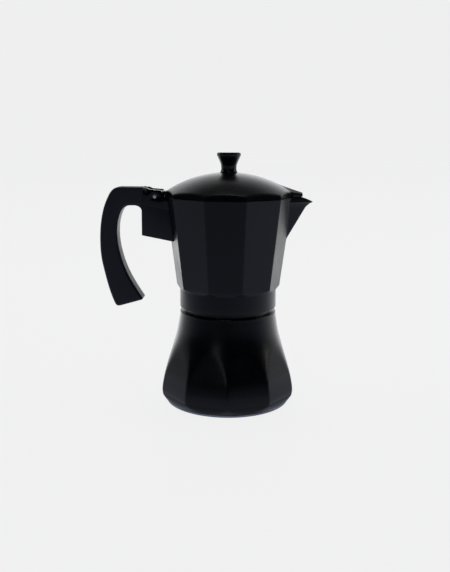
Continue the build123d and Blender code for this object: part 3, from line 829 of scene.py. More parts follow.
class Coil(Pattern):
    """A helix of round wire: a spring, or the ridge of a rounded thread with run-out ends."""

    def __init__(self, name: str, radius: float, pitch: float, turns: float, wire: float,
                 start: Point, tilt: float = 0.0, run_out: float = 0.0) -> None:
        """Wires the helix.

        Args:
            name: the tree's name.
            radius: the helix's radius, in millimetres.
            pitch: its rise in one turn.
            turns: how many turns it has.
            wire: the wire's radius.
            start: where the helix begins, on its axis.
            tilt: the turn of the axis about +X, in degrees.
            run_out: the share of the length over which each end tapers away.
        """
        super().__init__(name, {
            "Radius": radius * MM, "Rise": pitch * turns * MM, "Turns": turns, "Wire": wire * MM,
            "Start X": start[0] * MM, "Start Y": start[1] * MM, "Start Z": start[2] * MM,
            "Tilt": math.radians(tilt), "Run out": max(run_out, 1e-4),
        })
        w, size = self.wiring, self.size
        helix = w.node("GeometryNodeCurveSpiral", {
            "Resolution": 40, "Rotations": size("Turns"), "Start Radius": size("Radius"),
            "End Radius": size("Radius"), "Height": size("Rise")})
        along = w.node("GeometryNodeSplineParameter").outputs["Factor"]
        inner = w.math("MINIMUM", along, w.minus(1.0, along))
        taper = w.math("MINIMUM", w.math("MAXIMUM", w.math("DIVIDE", inner, size("Run out")), 0.2), 1.0)
        thickness = w.times(taper, size("Wire"))
        thick = w.node("GeometryNodeSetCurveRadius", {"Curve": helix.outputs[0], "Radius": thickness})
        ring = w.node("GeometryNodeCurvePrimitiveCircle", {"Resolution": 12, "Radius": 1.0})
        tube = w.node("GeometryNodeCurveToMesh", {
            "Curve": thick.outputs[0], "Profile Curve": ring.outputs["Curve"], "Fill Caps": True})
        if "Scale" in tube.inputs:
            w.feed(tube.inputs["Scale"], thickness)
        smooth = w.node("GeometryNodeSetShadeSmooth", {"Geometry": tube.outputs[0]})
        self.end(w.node("GeometryNodeTransform", {
            "Geometry": smooth.outputs[0], "Rotation": w.vector(X=size("Tilt")),
            "Translation": w.vector(X=size("Start X"), Y=size("Start Y"), Z=size("Start Z")),
        }).outputs[0])


class Perforated(Pattern):
    """A round sheet with a hole in its middle and rings of six more holes each around it."""

    def __init__(self, name: str, radius: float, bottom: float, sheet: float,
                 rings: int, spacing: float, hole: float) -> None:
        """Wires the sheet and the holes punched through it.

        Args:
            name: the tree's name.
            radius: the sheet's radius, in millimetres.
            bottom: the height of its underside.
            sheet: its thickness.
            rings: how many rings of holes it has.
            spacing: the distance between rings.
            hole: a hole's radius.
        """
        super().__init__(name, {
            "Radius": radius * MM, "Middle": (bottom + sheet / 2) * MM, "Sheet": sheet * MM,
            "Spacing": spacing * MM, "Hole": hole * MM,
        })
        w, size = self.wiring, self.size
        index = w.node("GeometryNodeInputIndex").outputs[0]
        root = w.math("SQRT", w.plus(w.times(index, 12.0), 9.0))
        ring = w.math("CEIL", w.minus(w.math("DIVIDE", w.minus(root, 3.0), 6.0), 1e-4))
        number = w.minus(index, w.times(ring, w.minus(ring, 1.0), 3.0), 1.0)
        share = w.math("DIVIDE", number, w.math("MAXIMUM", w.times(ring, 6.0), 1.0))
        angle = w.times(share, 2 * math.pi)
        reach = w.times(ring, size("Spacing"))
        where = w.vector(X=w.times(reach, w.math("COSINE", angle)),
                         Y=w.times(reach, w.math("SINE", angle)), Z=size("Middle"))
        count = 3 * rings * (rings + 1) + 1
        holes = w.node("GeometryNodePoints", {"Count": count, "Position": where})
        punch = w.node("GeometryNodeMeshCylinder", {
            "Vertices": 14, "Radius": size("Hole"), "Depth": w.times(size("Sheet"), 3.0)})
        punches = w.node("GeometryNodeInstanceOnPoints", {
            "Points": holes.outputs[0], "Instance": punch.outputs["Mesh"]})
        disc = w.node("GeometryNodeMeshCylinder", {
            "Vertices": 96, "Radius": size("Radius"), "Depth": size("Sheet")})
        raised = w.node("GeometryNodeTransform", {
            "Geometry": disc.outputs["Mesh"], "Translation": w.vector(Z=size("Middle"))})
        real = w.node("GeometryNodeRealizeInstances", {"Geometry": punches.outputs[0]})
        cut = w.node("GeometryNodeMeshBoolean", operation="DIFFERENCE", solver="EXACT")
        for name, piece in (("Mesh 1", raised), ("Mesh 2", real)):
            w.feed(cut.inputs[name], piece.outputs[0])
        self.end(cut.outputs["Mesh"])


# ------------------------------------------------------------------ boiler
THREAD_PITCH = 3.0  # millimetres
THREAD_RUN_OUT = 0.04  # share of the length


@dataclass
class Boiler:
    """The bell-shaped boiler with its neck and thread, its pressed base and its funnel.

    Each row of the bell is a height, a share of the belly's radius, and how far its flats have faded.
    """

    belly: float = 54.7
    turn: float = 3.0
    bell: tuple[Row, ...] = (
        (11.5, 1.0, 0.0), (16.5, 0.991, 0.0), (25.0, 0.956, 0.07), (32.0, 0.912, 0.17), (41.5, 0.841, 0.55),
        (48.5, 0.79, 1.0), (56.0, 0.75, 1.25), (63.5, 0.724, 1.25), (72.8, 38.3 / 54.7, 1.25),
    )
    foot: float = 50.6
    foot_height: float = 2.4
    run_out: float = 6.0
    wall: float = 3.0
    shoulder_height: float = 73.9
    shoulder_round: float = 0.8
    neck: float = 34.2
    neck_inside: float = 31.3
    neck_height: float = 88.0
    plate: float = 49.6
    boss_reach: float = 45.4
    boss: float = 9.0
    valve_height: float = 54.0
    thread_start: float = 78.4
    base_rings: tuple[float, ...] = (12.0, 24.0, 36.0)
    base_lift: float = 0.35
    ring_rise: float = 0.75

    def outside(self) -> list[Row]:
        """Draws the outer skin.

        Returns:
            Its rows, from under the foot to the neck's rim.
        """
        low = self.foot_height
        rows = [plain(r, low) for r in (0.0, 12.0, 26.0, 38.0, 46.0)]
        corner = (self.foot, low + 0.1)
        turn_in = rounded((self.foot - 2, low), corner, (self.belly - 0.4, 6.6), 0.7)
        turn_in += rounded(corner, (self.belly - 0.5, 7.4), (self.belly, 11.5), 3.4, 8)
        rows += [faceted(r, z, max(0.0, 1.0 - (z - low) / self.run_out)) for r, z in turn_in]
        line = curve_through([(z, self.belly * share, fade) for z, share, fade in self.bell], 6)
        rows += [faceted(r, z, fade) for z, r, fade in line]
        edge, top, round_off = line[-1][1], self.shoulder_height, self.shoulder_round
        for a in math.pi / 2 * np.arange(1, 7) / 6:
            rows.append(plain(edge - round_off * (1 - math.cos(a)), top - round_off * (1 - math.sin(a))))
        rows += bend((edge - 2, top), (self.neck, top), (self.neck, top + 3), 0.5)
        rows += [plain(self.neck, z) for z in (78.0, 81.0, 84.0, 86.5)]
        rim = self.neck_height
        rows += bend((self.neck, 86.5), (self.neck, rim), (self.neck_inside, rim), 0.5)
        return rows

    def inside(self) -> list[Row]:
        """Draws the inner skin.

        Returns:
            Its rows, from the neck's rim down to the middle of the floor.
        """
        rim, bore = self.neck_height, self.neck_inside
        rows = bend((self.neck, rim), (bore, rim), (bore, rim - 9), 0.5)
        rows += [plain(bore, z) for z in (84.0, 80.0, 76.0)]
        hollow = [(z, self.belly * share * (COS_HALF + (1 - COS_HALF) * min(fade, 1.0)) - self.wall)
                  for z, share, fade in self.bell]
        hollow[-1] = (hollow[-1][0] - 3.4, hollow[-1][1] - 1.2)
        rows += [plain(r, z) for z, r in reversed(curve_through(hollow, 3))]
        floor = self.foot_height + self.wall
        low_r = hollow[0][1]
        rows += plains((low_r - 1.2, floor + 1.6), (low_r - 4.0, floor))
        return rows + [plain(r, floor) for r in (36.0, 18.0, 0.0)]

    def shell(self) -> Piece:
        """Casts the boiler with the valve's boss and the neck's thread.

        Returns:
            The whole casting.
        """
        shell = turned("boiler_casting", self.outside() + self.inside(), side_angles(self.turn))
        close_up(PressedFlats("boiler_flats", self.turn, 0.9, 0.6).run(shell))
        start = (0, 0, self.thread_start)
        ridge = Coil("neck_thread", self.neck + 0.2, THREAD_PITCH, 2.7, 1.0, start, run_out=THREAD_RUN_OUT)
        return joined(shell, self.valve_boss(), ridge.fresh("neck_ridge"))

    def valve_boss(self) -> Piece:
        """Casts the round boss that the safety valve is screwed into, on the pot's far side.

        Returns:
            The boss, in its place.
        """
        reach = self.boss_reach
        rows = plains((0.0, reach - 8.0), (self.boss, reach - 8.0))
        rows += bend((self.boss, reach - 4), (self.boss, reach), (5, reach), 0.7)
        rows += plains((5.2, reach), (4.95, reach - 0.3), (4.95, reach - 4.0), (0.0, reach - 4.0))
        made = turned("valve_boss", rows, round_angles(5))
        made.data.transform(Matrix.Translation((0, 0, self.valve_height * MM))
                            @ Matrix.Rotation(-math.pi / 2, 4, "X"))
        return close_up(made)

    def base(self) -> Piece:
        """Presses the steel base with its rings and its rolled edge.

        Returns:
            The base.
        """
        low, high = self.base_lift, self.ring_rise
        rows = [plain(0.0, low)]
        for ring in self.base_rings:
            rows += plains((ring - 1.0, low), (ring - 0.5, high), (ring + 0.5, high), (ring + 1.0, low))
        edge, top = self.plate, self.foot_height
        rows += plains((42.0, low), (43.0, 0.0))
        rows += bend((43.0, 0.0), (edge, 0.0), (edge, top), 1.15, 6)
        rows += bend((edge, 0.5), (edge, top), (40.0, top), 0.9, 5)
        return close_up(turned("steel_base", rows + plains((20.0, top), (0.0, top)), round_angles(3.0)))

    def build(self) -> None:
        """Builds, dresses and settles the boiler with its valve's boss, its base and its funnel."""
        settle(self.shell(), Body.BOILER, BODY_PAINT, "boiler")
        settle(self.base(), Body.BOILER, BASE_STEEL, "base_plate")
        sieve = Perforated("basket_holes", 30.1, 67.1, 0.8, 5, 5.2, 0.8).fresh("funnel_strainer")
        settle(close_up(sieve), Body.BOILER, BARE_ALUMINIUM, "funnel_sieve")
        for node, name in (("funnel_basket", "funnel_cup"), ("funnel_stem", "funnel_tube")):
            settle(softened(node, name, 0.12, 2), Body.BOILER, BARE_ALUMINIUM, node)


@dataclass
class SafetyValve:
    """The brass relief valve: washer, hexagon, piston, retainer and spring."""

    height: float = 54.0
    seat: float = 40.8
    retainer: float = 50.2
    coil: float = 2.2
    wire: float = 0.3
    turns: float = 5.5

    def spring(self) -> Piece:
        """Winds the valve's spring along +Y.

        Returns:
            The spring at its length at rest.
        """
        start = self.seat + 2 + self.wire
        rise = self.retainer - self.seat - 2 - 2 * self.wire
        helix = Coil("valve_spring_wire", self.coil, rise / self.turns, self.turns, self.wire,
                     (0.0, start, self.height), tilt=-90.0)
        return helix.fresh("valve_spring_coil")

    def build(self) -> None:
        """Builds and settles every piece of the valve."""
        settle(close_up(self.spring()), Body.BOILER, SPRING_STEEL, "valve_spring")
        for node, name, edge, body, finish in (
            ("valve_washer", "valve_washer_ring", 0.12, Body.BOILER, SEAL_SILICONE),
            ("valve_body", "valve_hexagon", 0.25, Body.BOILER, VALVE_BRASS),
            ("valve_retainer", "valve_retaining_ring", 0.1, Body.BOILER, VALVE_BRASS),
            ("valve_piston", "valve_plunger", 0.15, Body.VALVE_PISTON, VALVE_BRASS),
        ):
            settle(softened(node, name, edge), body, finish, node)


@dataclass
class Seal:
    """The silicone ring and the filter plate that it holds under the collector."""

    plate: float = 31.0
    ledge: float = 92.2
    sheet: float = 0.8
    ring_outside: float = 33.9
    ring_inside: float = 28.0
    ring_bottom: float = 88.8

    def build(self) -> None:
        """Builds and settles the ring and the plate."""
        low, high = self.ring_bottom, self.ledge - self.sheet
        out, into = self.ring_outside, self.ring_inside
        middle = (out + into) / 2
        rows = bend((middle, low), (out, low), (out, high), 0.5)
        rows += bend((out, low), (out, high), (middle, high), 0.5)
        rows += plains((middle + 0.6, high), (middle, high - 0.25), (middle - 0.6, high))
        rows += bend((middle, high), (into, high), (into, low), 0.5)
        rows += bend((into, high), (into, low), (middle, low), 0.5)
        rows += plains((middle - 0.6, low), (middle, low + 0.25), (middle + 0.6, low))
        ring = close_up(turned("silicone_ring", rows, round_angles(4.0), loop=True))
        settle(ring, Body.SEAL, SEAL_SILICONE, "gasket")
        plate = Perforated("filter_holes", self.plate, high, self.sheet, 5, 4.8, 0.7)
        settle(close_up(plate.fresh("filter_disc")), Body.SEAL, BARE_ALUMINIUM, "filter_plate")


# ------------------------------------------------------------------ collector
LEAST_AHEAD = 0.3  # cosine of the angle from +X beyond which spout and beak have no part


@dataclass
class Spout:
    """The pouring spout: a pyramid drawn out of the collector's wall, with a hooked lip."""

    keel_height: float = 130.6
    keel: float = 45.78
    slope: float = 0.579
    half: float = 11.2
    top: float = 164.5
    wall: float = 4.0
    fillet: float = 1.7
    least_fillet: float = 0.5
    start_below: float = 4.0
    tips: tuple[float, float] = (0.016, 0.03)
    edge_share: float = 1.4
    groove_from: float = 54.0
    groove_half: float = 3.0
    groove_height: float = 161.1
    groove_slope: float = 1.7
    lip: tuple[tuple[float, float], ...] = ((157.0, 61.07), (159.6, 64.2), (160.8, 66.7), (164.5, 60.3))

    def normal(self) -> tuple[float, float]:
        """Works out how one of the spout's two walls faces.

        Returns:
            Its unit normal in plan, for the wall on the +Y side.
        """
        run = self.slope * (self.top - self.keel_height) + 2.4
        size = math.hypot(run, self.half)
        return self.half / size, run / size

    def front(self, height: float) -> float:
        """Works out how far the spout's outside reaches.

        Args:
            height: the height, in millimetres.

        Returns:
            The reach along +X.
        """
        if height <= self.lip[0][0]:
            return self.keel + self.slope * (height - self.keel_height)
        return float(np.interp(height, [z for z, _ in self.lip], [x for _, x in self.lip]))

    def inner_front(self, height: float) -> float:
        """How far the pouring channel reaches along +X, at a height."""
        keel = self.keel + self.slope * (height - self.keel_height)
        return min(keel - self.wall, self.front(height) - 1.0)

    def reach(self, angle: np.ndarray, front: float, tip: float) -> np.ndarray:
        """Works out a spout wall's radius, with a rounded front edge.

        Args:
            angle: the angles, in radians.
            front: how far the edge reaches along +X.
            tip: how blunt the edge is.

        Returns:
            The radius at each angle, or 0 well away from +X.
        """
        nx, ny = self.normal()
        across = np.sqrt(np.sin(angle) ** 2 + tip**2) - 0.6 * tip
        ahead = np.cos(angle)
        drawn = nx * front / (nx * np.maximum(ahead, LEAST_AHEAD) + ny * across)
        return np.where(ahead > LEAST_AHEAD, drawn, 0.0)

    def draw_out(self, co: np.ndarray, height: float, outer: bool, inset: float) -> np.ndarray:
        """Pulls one row of the collector's wall out into the spout.

        Args:
            co: the row's vertices, in millimetres.
            height: the row's height.
            outer: whether the row is on the outside.
            inset: how far the row lies inside its wall's face, where an edge is rounded.

        Returns:
            The moved vertices.
        """
        grow = min(max((height - self.keel_height) / (self.top - self.keel_height), 0.0), 1.0)
        if height < self.keel_height - self.start_below:
            return co
        radius = np.hypot(co[:, 0], co[:, 1])
        angle = np.arctan2(co[:, 1], co[:, 0])
        drop = self.edge_share * inset
        front = self.front(height) - drop if outer else self.inner_front(height) + drop
        spout = self.reach(angle, front, self.tips[0] if outer else self.tips[1])
        drawn = smooth_max(radius, spout, self.least_fillet + self.fillet * grow)
        moved = co.copy()
        moved[:, :2] *= (drawn / radius)[:, None]
        return moved

    def groove(self, co: np.ndarray) -> np.ndarray:
        """Sinks the pouring groove into the top of the lip.

        Args:
            co: the casting's vertices, in millimetres.

        Returns:
            The moved vertices.
        """
        x, y, z = co.T
        floor = self.groove_height + 0.02 * (x - 60.0) + self.groove_slope * np.sqrt(y**2 + 0.15)
        inside = (x > self.groove_from) & (np.abs(y) < self.groove_half)
        sunk = np.where(inside, smooth_min(z, floor, 0.4), z)
        return np.column_stack([x, y, sunk])


@dataclass
class Collector:
    """The ten-sided upper chamber with its round collar, spout, column and lug."""

    collar: float = 38.3
    collar_bottom: float = 77.4
    collar_top: float = 91.8
    waist: float = 41.1
    waist_height: float = 94.5
    rim: float = 50.1
    rim_height: float = 164.5
    wall: float = 2.4
    floor: float = 97.0
    ledge: float = 92.2
    seat: float = 34.0
    bore: float = 35.75
    column: float = 6.05
    turn: float = 18.0
    thread_start: float = 79.9
    rim_edge: tuple[tuple[float, float], ...] = ((0.12, 0.12), (0.45, 0.0))  # inset, drop
    spout: Spout = field(default_factory=Spout)

    def corner(self, height: float) -> float:
        """Distance from the axis to an outer corner at a height."""
        share = (height - self.waist_height) / (self.rim_height - self.waist_height)
        return self.waist + share * (self.rim - self.waist)

    def outside(self) -> list[tuple[Row, float | None, float]]:
        """Draws the outside.

        Returns:
            Its rows from the collar up, each with its height on the spout's wall and its inset.
        """
        low, top = self.collar_bottom, self.rim_height
        rows = bend((self.bore + 1, low), (self.collar, low), (self.collar, 80), 0.6)
        rows += [plain(self.collar, z) for z in (82.0, 86.0, 89.5, 91.0)]
        first = np.array((self.collar + 0.02, self.collar_top, self.collar))
        last = np.array((self.waist + 0.02, self.waist_height, self.waist * COS_HALF))
        rows += [tuple(first + (last - first) * k / 5) for k in range(6)]
        made = [(row, None, 0.0) for row in rows]
        heights = [95.2, 97.0, 101.0, 107.0, 113.0, 119.0, 124.0, 127.0]
        heights += [*np.arange(128.6, 156.0, 1.4), 156.6, 157.4, 158.2, 159.0, 159.6, 160.1, 160.5, 160.8]
        heights += [161.2, 161.8, 162.4, 163.0, 163.6, 164.05]
        made += [(faceted(self.corner(z), z), z, 0.0) for z in heights]
        edge = self.corner(top)
        return made + [(faceted(edge - inset, top - drop), top, inset) for inset, drop in self.rim_edge]

    def inside(self) -> list[tuple[Row, float | None, float]]:
        """Draws the inside.

        Returns:
            Its rows from the rim down to the floor, as outside() gives them.
        """
        top, shift = self.rim_height, self.wall / COS_HALF
        edge = self.corner(top) - shift
        made = [(faceted(edge + inset, top - drop), top, inset) for inset, drop in reversed(self.rim_edge)]
        heights = [164.05, 163.2, 162.2, 161.2, 160.2, 159.0, *np.arange(157.0, 128.0, -2.0)]
        heights += [124.0, 118.0, 111.0, 104.0, 100.0]
        made += [(faceted(self.corner(z) - shift, z), z, 0.0) for z in heights]
        edge = self.corner(self.floor) - shift
        bend = rounded((edge, 100.0), (edge, self.floor), (edge - 6, self.floor), 2.0, 5)
        return made + [(faceted(*p), None, 0.0) for p in bend]

    def underside(self) -> list[Row]:
        """Draws the floor, the column's boss, the seat of the seal and the threaded bore.

        Returns:
            Their rows, in order.
        """
        floor, column, seat, bore = self.floor, self.column, self.seat, self.bore
        rows = plains((30.0, floor), (18.0, floor))
        rows += bend((12.0, floor), (9.0, floor), (9.0, floor + 4), 0.8)
        rows += bend((9.0, floor), (9.0, floor + 4), (column, floor + 4), 0.6)
        rows += plains((column, floor + 4), (column, floor - 2.2), (27.0, self.ledge), (seat, self.ledge))
        rows += plains((seat, 88.2), (bore, 88.2), (bore, 85.0), (bore, 81.0), (bore, 77.9))
        return rows + [plain(bore + 0.4, self.collar_bottom)]

    def chamber(self) -> Piece:
        """Casts the chamber with its collar and its spout.

        Returns:
            The closed casting.
        """
        outside, inside = self.outside(), self.inside()
        rows = [row for row, _, _ in outside + inside] + self.underside()
        angles = side_angles(self.turn, (0.12, 0.35, 0.65, 1.0, 1.4, 1.9, 2.5, 3.2, *range(4, 17)))
        piece = turned("collector_chamber", rows, angles, loop=True)
        PressedFlats("collector_flats", self.turn, 0.55, 0.3).run(piece)
        co, count = places(piece), len(angles)
        for n, (_, height, inset) in enumerate(outside + inside):
            if height is not None:
                part = slice(n * count, (n + 1) * count)
                co[part] = self.spout.draw_out(co[part], height, n < len(outside), inset)
        put(piece, self.spout.groove(co))
        return close_up(piece)

    def lug(self) -> Piece:
        """The cast lug inside the handle's block."""
        outline = [(-63.0, 140.0), (-42.0, 137.0), (-42.0, 154.0), (-63.0, 154.0)]
        return close_up(block("cast_lug", outline, 4.5, 0.6))

    def build(self) -> None:
        """Builds and settles the chamber and its column."""
        start = (0, 0, self.thread_start)
        ridge = Coil("collector_thread", self.bore + 0.1, THREAD_PITCH, 2.5, 0.9, start,
                     run_out=THREAD_RUN_OUT)
        whole = joined(self.chamber(), self.lug(), ridge.fresh("collector_ridge"))
        settle(whole, Body.COLLECTOR, CHAMBER_PAINT, "upper_chamber")
        column = softened("riser_column", "coffee_column", 0.3)
        settle(column, Body.COLLECTOR, BARE_ALUMINIUM, "riser_column")


@dataclass
class HandleAndHinge:
    """The moulded handle, the gloss bracket over its block, the pin and the screws."""

    cheek_low: float = 166.0
    cheek_high: float = 168.0
    cheek_rise: float = 1.5
    cheek_end: tuple[float, float] = (-53.5, -50.5)
    cutter_reach: float = 4.0
    cutter_half: float = 12.0
    end: tuple[tuple[float, float], ...] = ((-94.4, 89.0), (-89.2, 75.6), (-67.2, 82.0), (-74.4, 93.2))
    end_rounds: tuple[float, float] = (4.6, 2.4)

    def corner_cutters(self) -> list[Piece]:
        """Makes prisms that round the two corners of the grip's lower end.

        Returns:
            The prisms, one a corner.
        """
        made = []
        for n, radius in enumerate(self.end_rounds):
            before, corner, after = (np.array(self.end[n + k]) for k in range(3))
            arc = [np.array(p) for p in rounded(tuple(before), tuple(corner), tuple(after), radius, 7)]
            out = 2 * corner - (arc[0] + arc[-1]) / 2
            away = (out - corner) / np.linalg.norm(out - corner) * self.cutter_reach
            outline = arc + [arc[-1] + away, corner + away, arc[0] + away]
            made.append(block(f"corner_{n}", [tuple(p) for p in outline], self.cutter_half, 0.0))
        return made

    def raise_cheeks(self, piece: Piece) -> None:
        """Draws the tops of the bracket's cheeks up level with the handle, but not beside the lid.

        Args:
            piece: the bracket, which is changed.
        """
        co = places(piece)
        up = np.clip((co[:, 2] - self.cheek_low) / (self.cheek_high - self.cheek_low), 0.0, 1.0)
        beside = np.clip((self.cheek_end[1] - co[:, 0]) / (self.cheek_end[1] - self.cheek_end[0]), 0.0, 1.0)
        co[:, 2] += self.cheek_rise * up * beside
        put(piece, co)

    def build(self) -> None:
        """Builds and settles every piece of the handle and the hinge."""
        for node, name, edge, finish in (
            ("handle", "moulded_handle", 0.7, HANDLE_PLASTIC),
            ("hinge_bracket", "hinge_cheeks", 0.45, BRACKET_PAINT),
            ("bracket_screw", "bracket_fixing", 0.2, FASTENER_STEEL),
            ("hinge_pin", "hinge_rivet", 0.25, PIN_STEEL),
            ("handle_screw", "handle_fixing", 0.2, SCREW_STEEL),
        ):
            piece = softened(node, name, edge, cutters=self.corner_cutters() if node == "handle" else ())
            if node == "hinge_bracket":
                self.raise_cheeks(piece)
            settle(piece, Body.COLLECTOR, finish, node)


# ------------------------------------------------------------------ lid
class LidPart(Enum):
    """The parts of the lid's profile, in order."""

    TOP = "top"
    SKIRT = "skirt"
    UNDER = "under"
    LIP = "lip"
    CEILING = "ceiling"


@dataclass
class Lid:
    """The domed lid with its ten-sided skirt, the gabled beak over the spout and the hinge's eye."""

    rim: float = 50.1
    bottom: float = 164.8
    dome: float = 88.0
    dome_top: float = 183.2
    sheet: float = 1.8
    pad: float = 7.0
    lip: float = 46.92
    lip_depth: float = 2.3
    lip_width: float = 1.6
    beak_fillet: float = 2.6
    crown_fillet: float = 1.2
    stretch_from: float = 26.0
    wall: float = 1.7
    beak_root: tuple[float, float, float] = (34.0, 12.5, 175.6)
    beak_end: tuple[float, float, float] = (57.6, 3.2, 167.9)
    gable: float = 0.38
    pin: tuple[float, float] = (-57.0, 164.4)
    eye: float = 3.8
    eye_half: float = 6.1
    eye_bore: float = 1.62
    turn: float = 18.0
    rings: tuple[float, ...] = (
        2.2, 3.5, 5.4, 6.6, 7.3, 9.0, 12.0, 16.0, 20.0, 24.0, 28.0, 31.5, 34.5, 37.0, 39.5, 41.5, 43.5,
        45.3, 46.8, 48.0, 48.9)
    ceiling_rings: tuple[float, ...] = (43.0, 40.5, 38.0, 35.0, 31.0, 26.0, 20.0, 14.0, 9.0, 7.0, 5.0, 2.2)
    beak_angles: tuple[float, ...] = (
        0.6, 1.2, 1.8, 2.4, 3.0, 3.6, 4.2, 4.8, 5.4, 6.0, 6.6, 7.3, 8.0, 9.0, 10.0, 11.5, 13.0)

    def dome_height(self, radius: np.ndarray, thinner: float = 0.0) -> np.ndarray:
        """Height of the dome, flat under the knob."""
        ball = self.dome - thinner
        return self.dome_top - self.dome + np.sqrt(ball**2 - np.maximum(radius, self.pad) ** 2)

    def beak_outline(self, angle: np.ndarray, inset: float) -> np.ndarray:
        """Works out the beak's outline in plan.

        Args:
            angle: the angles, in radians.
            inset: how far the outline is drawn in.

        Returns:
            Its radius at each angle, or 0 well away from +X.
        """
        (x0, y0, _), (x1, y1, _) = self.beak_root, self.beak_end
        size = math.hypot(x1 - x0, y0 - y1)
        nx, ny = (y0 - y1) / size, (x1 - x0) / size
        ahead = np.maximum(np.cos(angle), LEAST_AHEAD)
        side = (nx * x0 + ny * y0 - inset) / (nx * ahead + ny * np.abs(np.sin(angle)))
        outline = smooth_min(side, (x1 - inset) / ahead, 1.6)
        return np.where(np.cos(angle) > LEAST_AHEAD, outline, 0.0)

    def crown(self, co: np.ndarray, inset: float) -> np.ndarray:
        """Works out the height of the lid's top, or of the ceiling inside it.

        Args:
            co: vertices, in millimetres.
            inset: how far the surface lies under the top.

        Returns:
            The height over each vertex.
        """
        x, y = co[:, 0], co[:, 1]
        (x0, _, z0), (x1, _, z1) = self.beak_root, self.beak_end
        ridge = z0 + (x - x0) * (z1 - z0) / (x1 - x0) - np.maximum(x0 - x, 0.0) * 1.2
        gable = ridge - self.gable * (np.sqrt(y**2 + 0.5) - 0.7) - inset
        return smooth_max(self.dome_height(np.hypot(x, y), inset), gable, self.crown_fillet)

    def profile(self) -> list[tuple[LidPart, float, float]]:
        """Lists the cover's rows, from the crown out and round to the ceiling.

        Returns:
            Each row's part, its corner radius and its height, or its drop on the skirt and the lip.
        """
        rim, low, lip, deep = self.rim, self.bottom, self.lip, self.lip_depth
        inner = lip - self.lip_width
        lines = {
            LidPart.TOP: [(r, 0.0) for r in (*self.rings, rim - 0.45)],
            LidPart.SKIRT: [(rim - 0.13, 0.13), (rim, 0.45), (rim, 1.2)],
            LidPart.UNDER: [(rim, low + 0.8), (rim, low + 0.3), (rim - 0.3, low)],
            LidPart.LIP: [(lip + 0.3, 0.0), (lip, 0.3), (lip, deep - 0.3),
                          (lip - 0.3, deep), (inner + 0.3, deep), (inner, deep - 0.3)],
            LidPart.CEILING: [(r, 0.0) for r in (inner - 0.5, *self.ceiling_rings)],
        }
        return [(part, r, z) for part, line in lines.items() for r, z in line]

    def cover(self) -> Piece:
        """Casts the cover, with a point attribute on the skirt outside the beak that marks painted shade:
        there the paint's specular is cut so the skirt reads dark.

        Returns:
            The closed casting.
        """
        listed, inner = self.profile(), self.lip - self.lip_width
        round_parts = (LidPart.TOP, LidPart.CEILING)
        rows = [faceted(r, z, max(0.0, 1.2 - r / 30) if part in round_parts else 0.0)
                for part, r, z in listed]
        angles = side_angles(self.turn, self.beak_angles)
        piece = turned("lid_cover", rows, angles, loop=True)
        PressedFlats("lid_flats", self.turn, 0.5, 0.3).run(piece)
        ring = places(piece).reshape(len(rows), len(angles), 3)
        for n, (part, radius, _) in enumerate(listed):
            full, inset = {
                LidPart.LIP: (radius, self.wall - max(0.0, radius - inner) * 0.5),
                LidPart.CEILING: (inner, self.wall),
            }.get(part, (self.rim, 0.0))
            ring[n] = self.stretched(ring[n], angles, radius, full, inset)
        under, lip = (next(n for n, row in enumerate(listed) if row[0] is part)
                      for part in (LidPart.UNDER, LidPart.LIP))
        edge = self.crown(ring[under - 1], 0.0)
        shut = 1 - np.clip((self.beak_outline(angles, self.wall) - self.lip) / 1.5, 0.0, 1.0)
        for n, (part, _, drop) in enumerate(listed):
            if part is LidPart.SKIRT:
                ring[n, :, 2] = edge - drop
            elif part is LidPart.LIP:
                ring[n, :, 2] = self.bottom - drop * shut
            elif part in round_parts:
                ring[n, :, 2] = self.crown(ring[n], self.sheet if part is LidPart.CEILING else 0.0)
        put(piece, ring.reshape(-1, 3))
        # painted shade on the skirt's band, left off the beak: the paint's specular is cut here
        painted_skirt_shade = np.zeros((len(rows), len(angles)), np.float32)
        painted_skirt_shade[under - 1:lip] = self.beak_outline(angles, 0.0) < self.rim
        piece.data.attributes.new("painted_skirt_shade", "FLOAT", "POINT").data.foreach_set("value", painted_skirt_shade.ravel())
        return close_up(piece)

    def stretched(self, co: np.ndarray, angles: np.ndarray, radius: float, full: float,
                  inset: float) -> np.ndarray:
        """Stretches one row out towards the beak.

        Args:
            co: the row's vertices, in millimetres.
            angles: their angles.
            radius: the row's corner radius.
            full: the corner radius of the outline that the row belongs to.
            inset: how far that outline lies inside the beak's outside.

        Returns:
            The moved vertices.
        """
        now = np.hypot(co[:, 0], co[:, 1])
        outline = now * full / radius
        wide = smooth_max(outline, self.beak_outline(angles, inset), self.beak_fillet)
        t = np.clip((radius - self.stretch_from) / (full - self.stretch_from), 0.0, 1.0)
        weight = t * t * (3 - 2 * t)
        moved = co.copy()
        moved[:, :2] *= (1 + weight * (wide / outline - 1))[:, None]
        return moved

    def hinge_eye(self) -> Piece:
        """Makes the tongue and the eye that turns on the pin.

        Returns:
            Both as one piece.
        """
        x, z = self.pin
        inner, outer = (self.eye_bore, self.eye_half), (self.eye, self.eye_half)
        rows = bend((self.eye_bore, 0), inner, outer, 0.25, 2) + bend(inner, outer, (self.eye, 0), 0.4, 3)
        rows += [plain(r, -h) for r, h, _ in reversed(rows)]
        eye = turned("lid_eye", rows, round_angles(7.5), loop=True)
        eye.data.transform(Matrix.Translation((x * MM, 0, z * MM)) @ Matrix.Rotation(math.pi / 2, 4, "X"))
        reach = self.eye - 0.02
        arc = [(x + reach * math.cos(a), z + reach * math.sin(a))
               for a in np.radians(np.arange(90, 20, -10))]
        outline = arc + [(x + 2.1, z + 0.4), (-48.0, self.bottom), (-42.0, self.bottom), (-42.0, 169.6),
                             (-49.0, 168.3)]
        tongue = block("lid_tongue", outline, self.eye_half, 0.35)
        return joined(close_up(eye), close_up(tongue))

    def build(self) -> None:
        """Builds and settles the lid."""
        settle(joined(self.cover(), self.hinge_eye()), Body.LID, LID_PAINT, "lid")


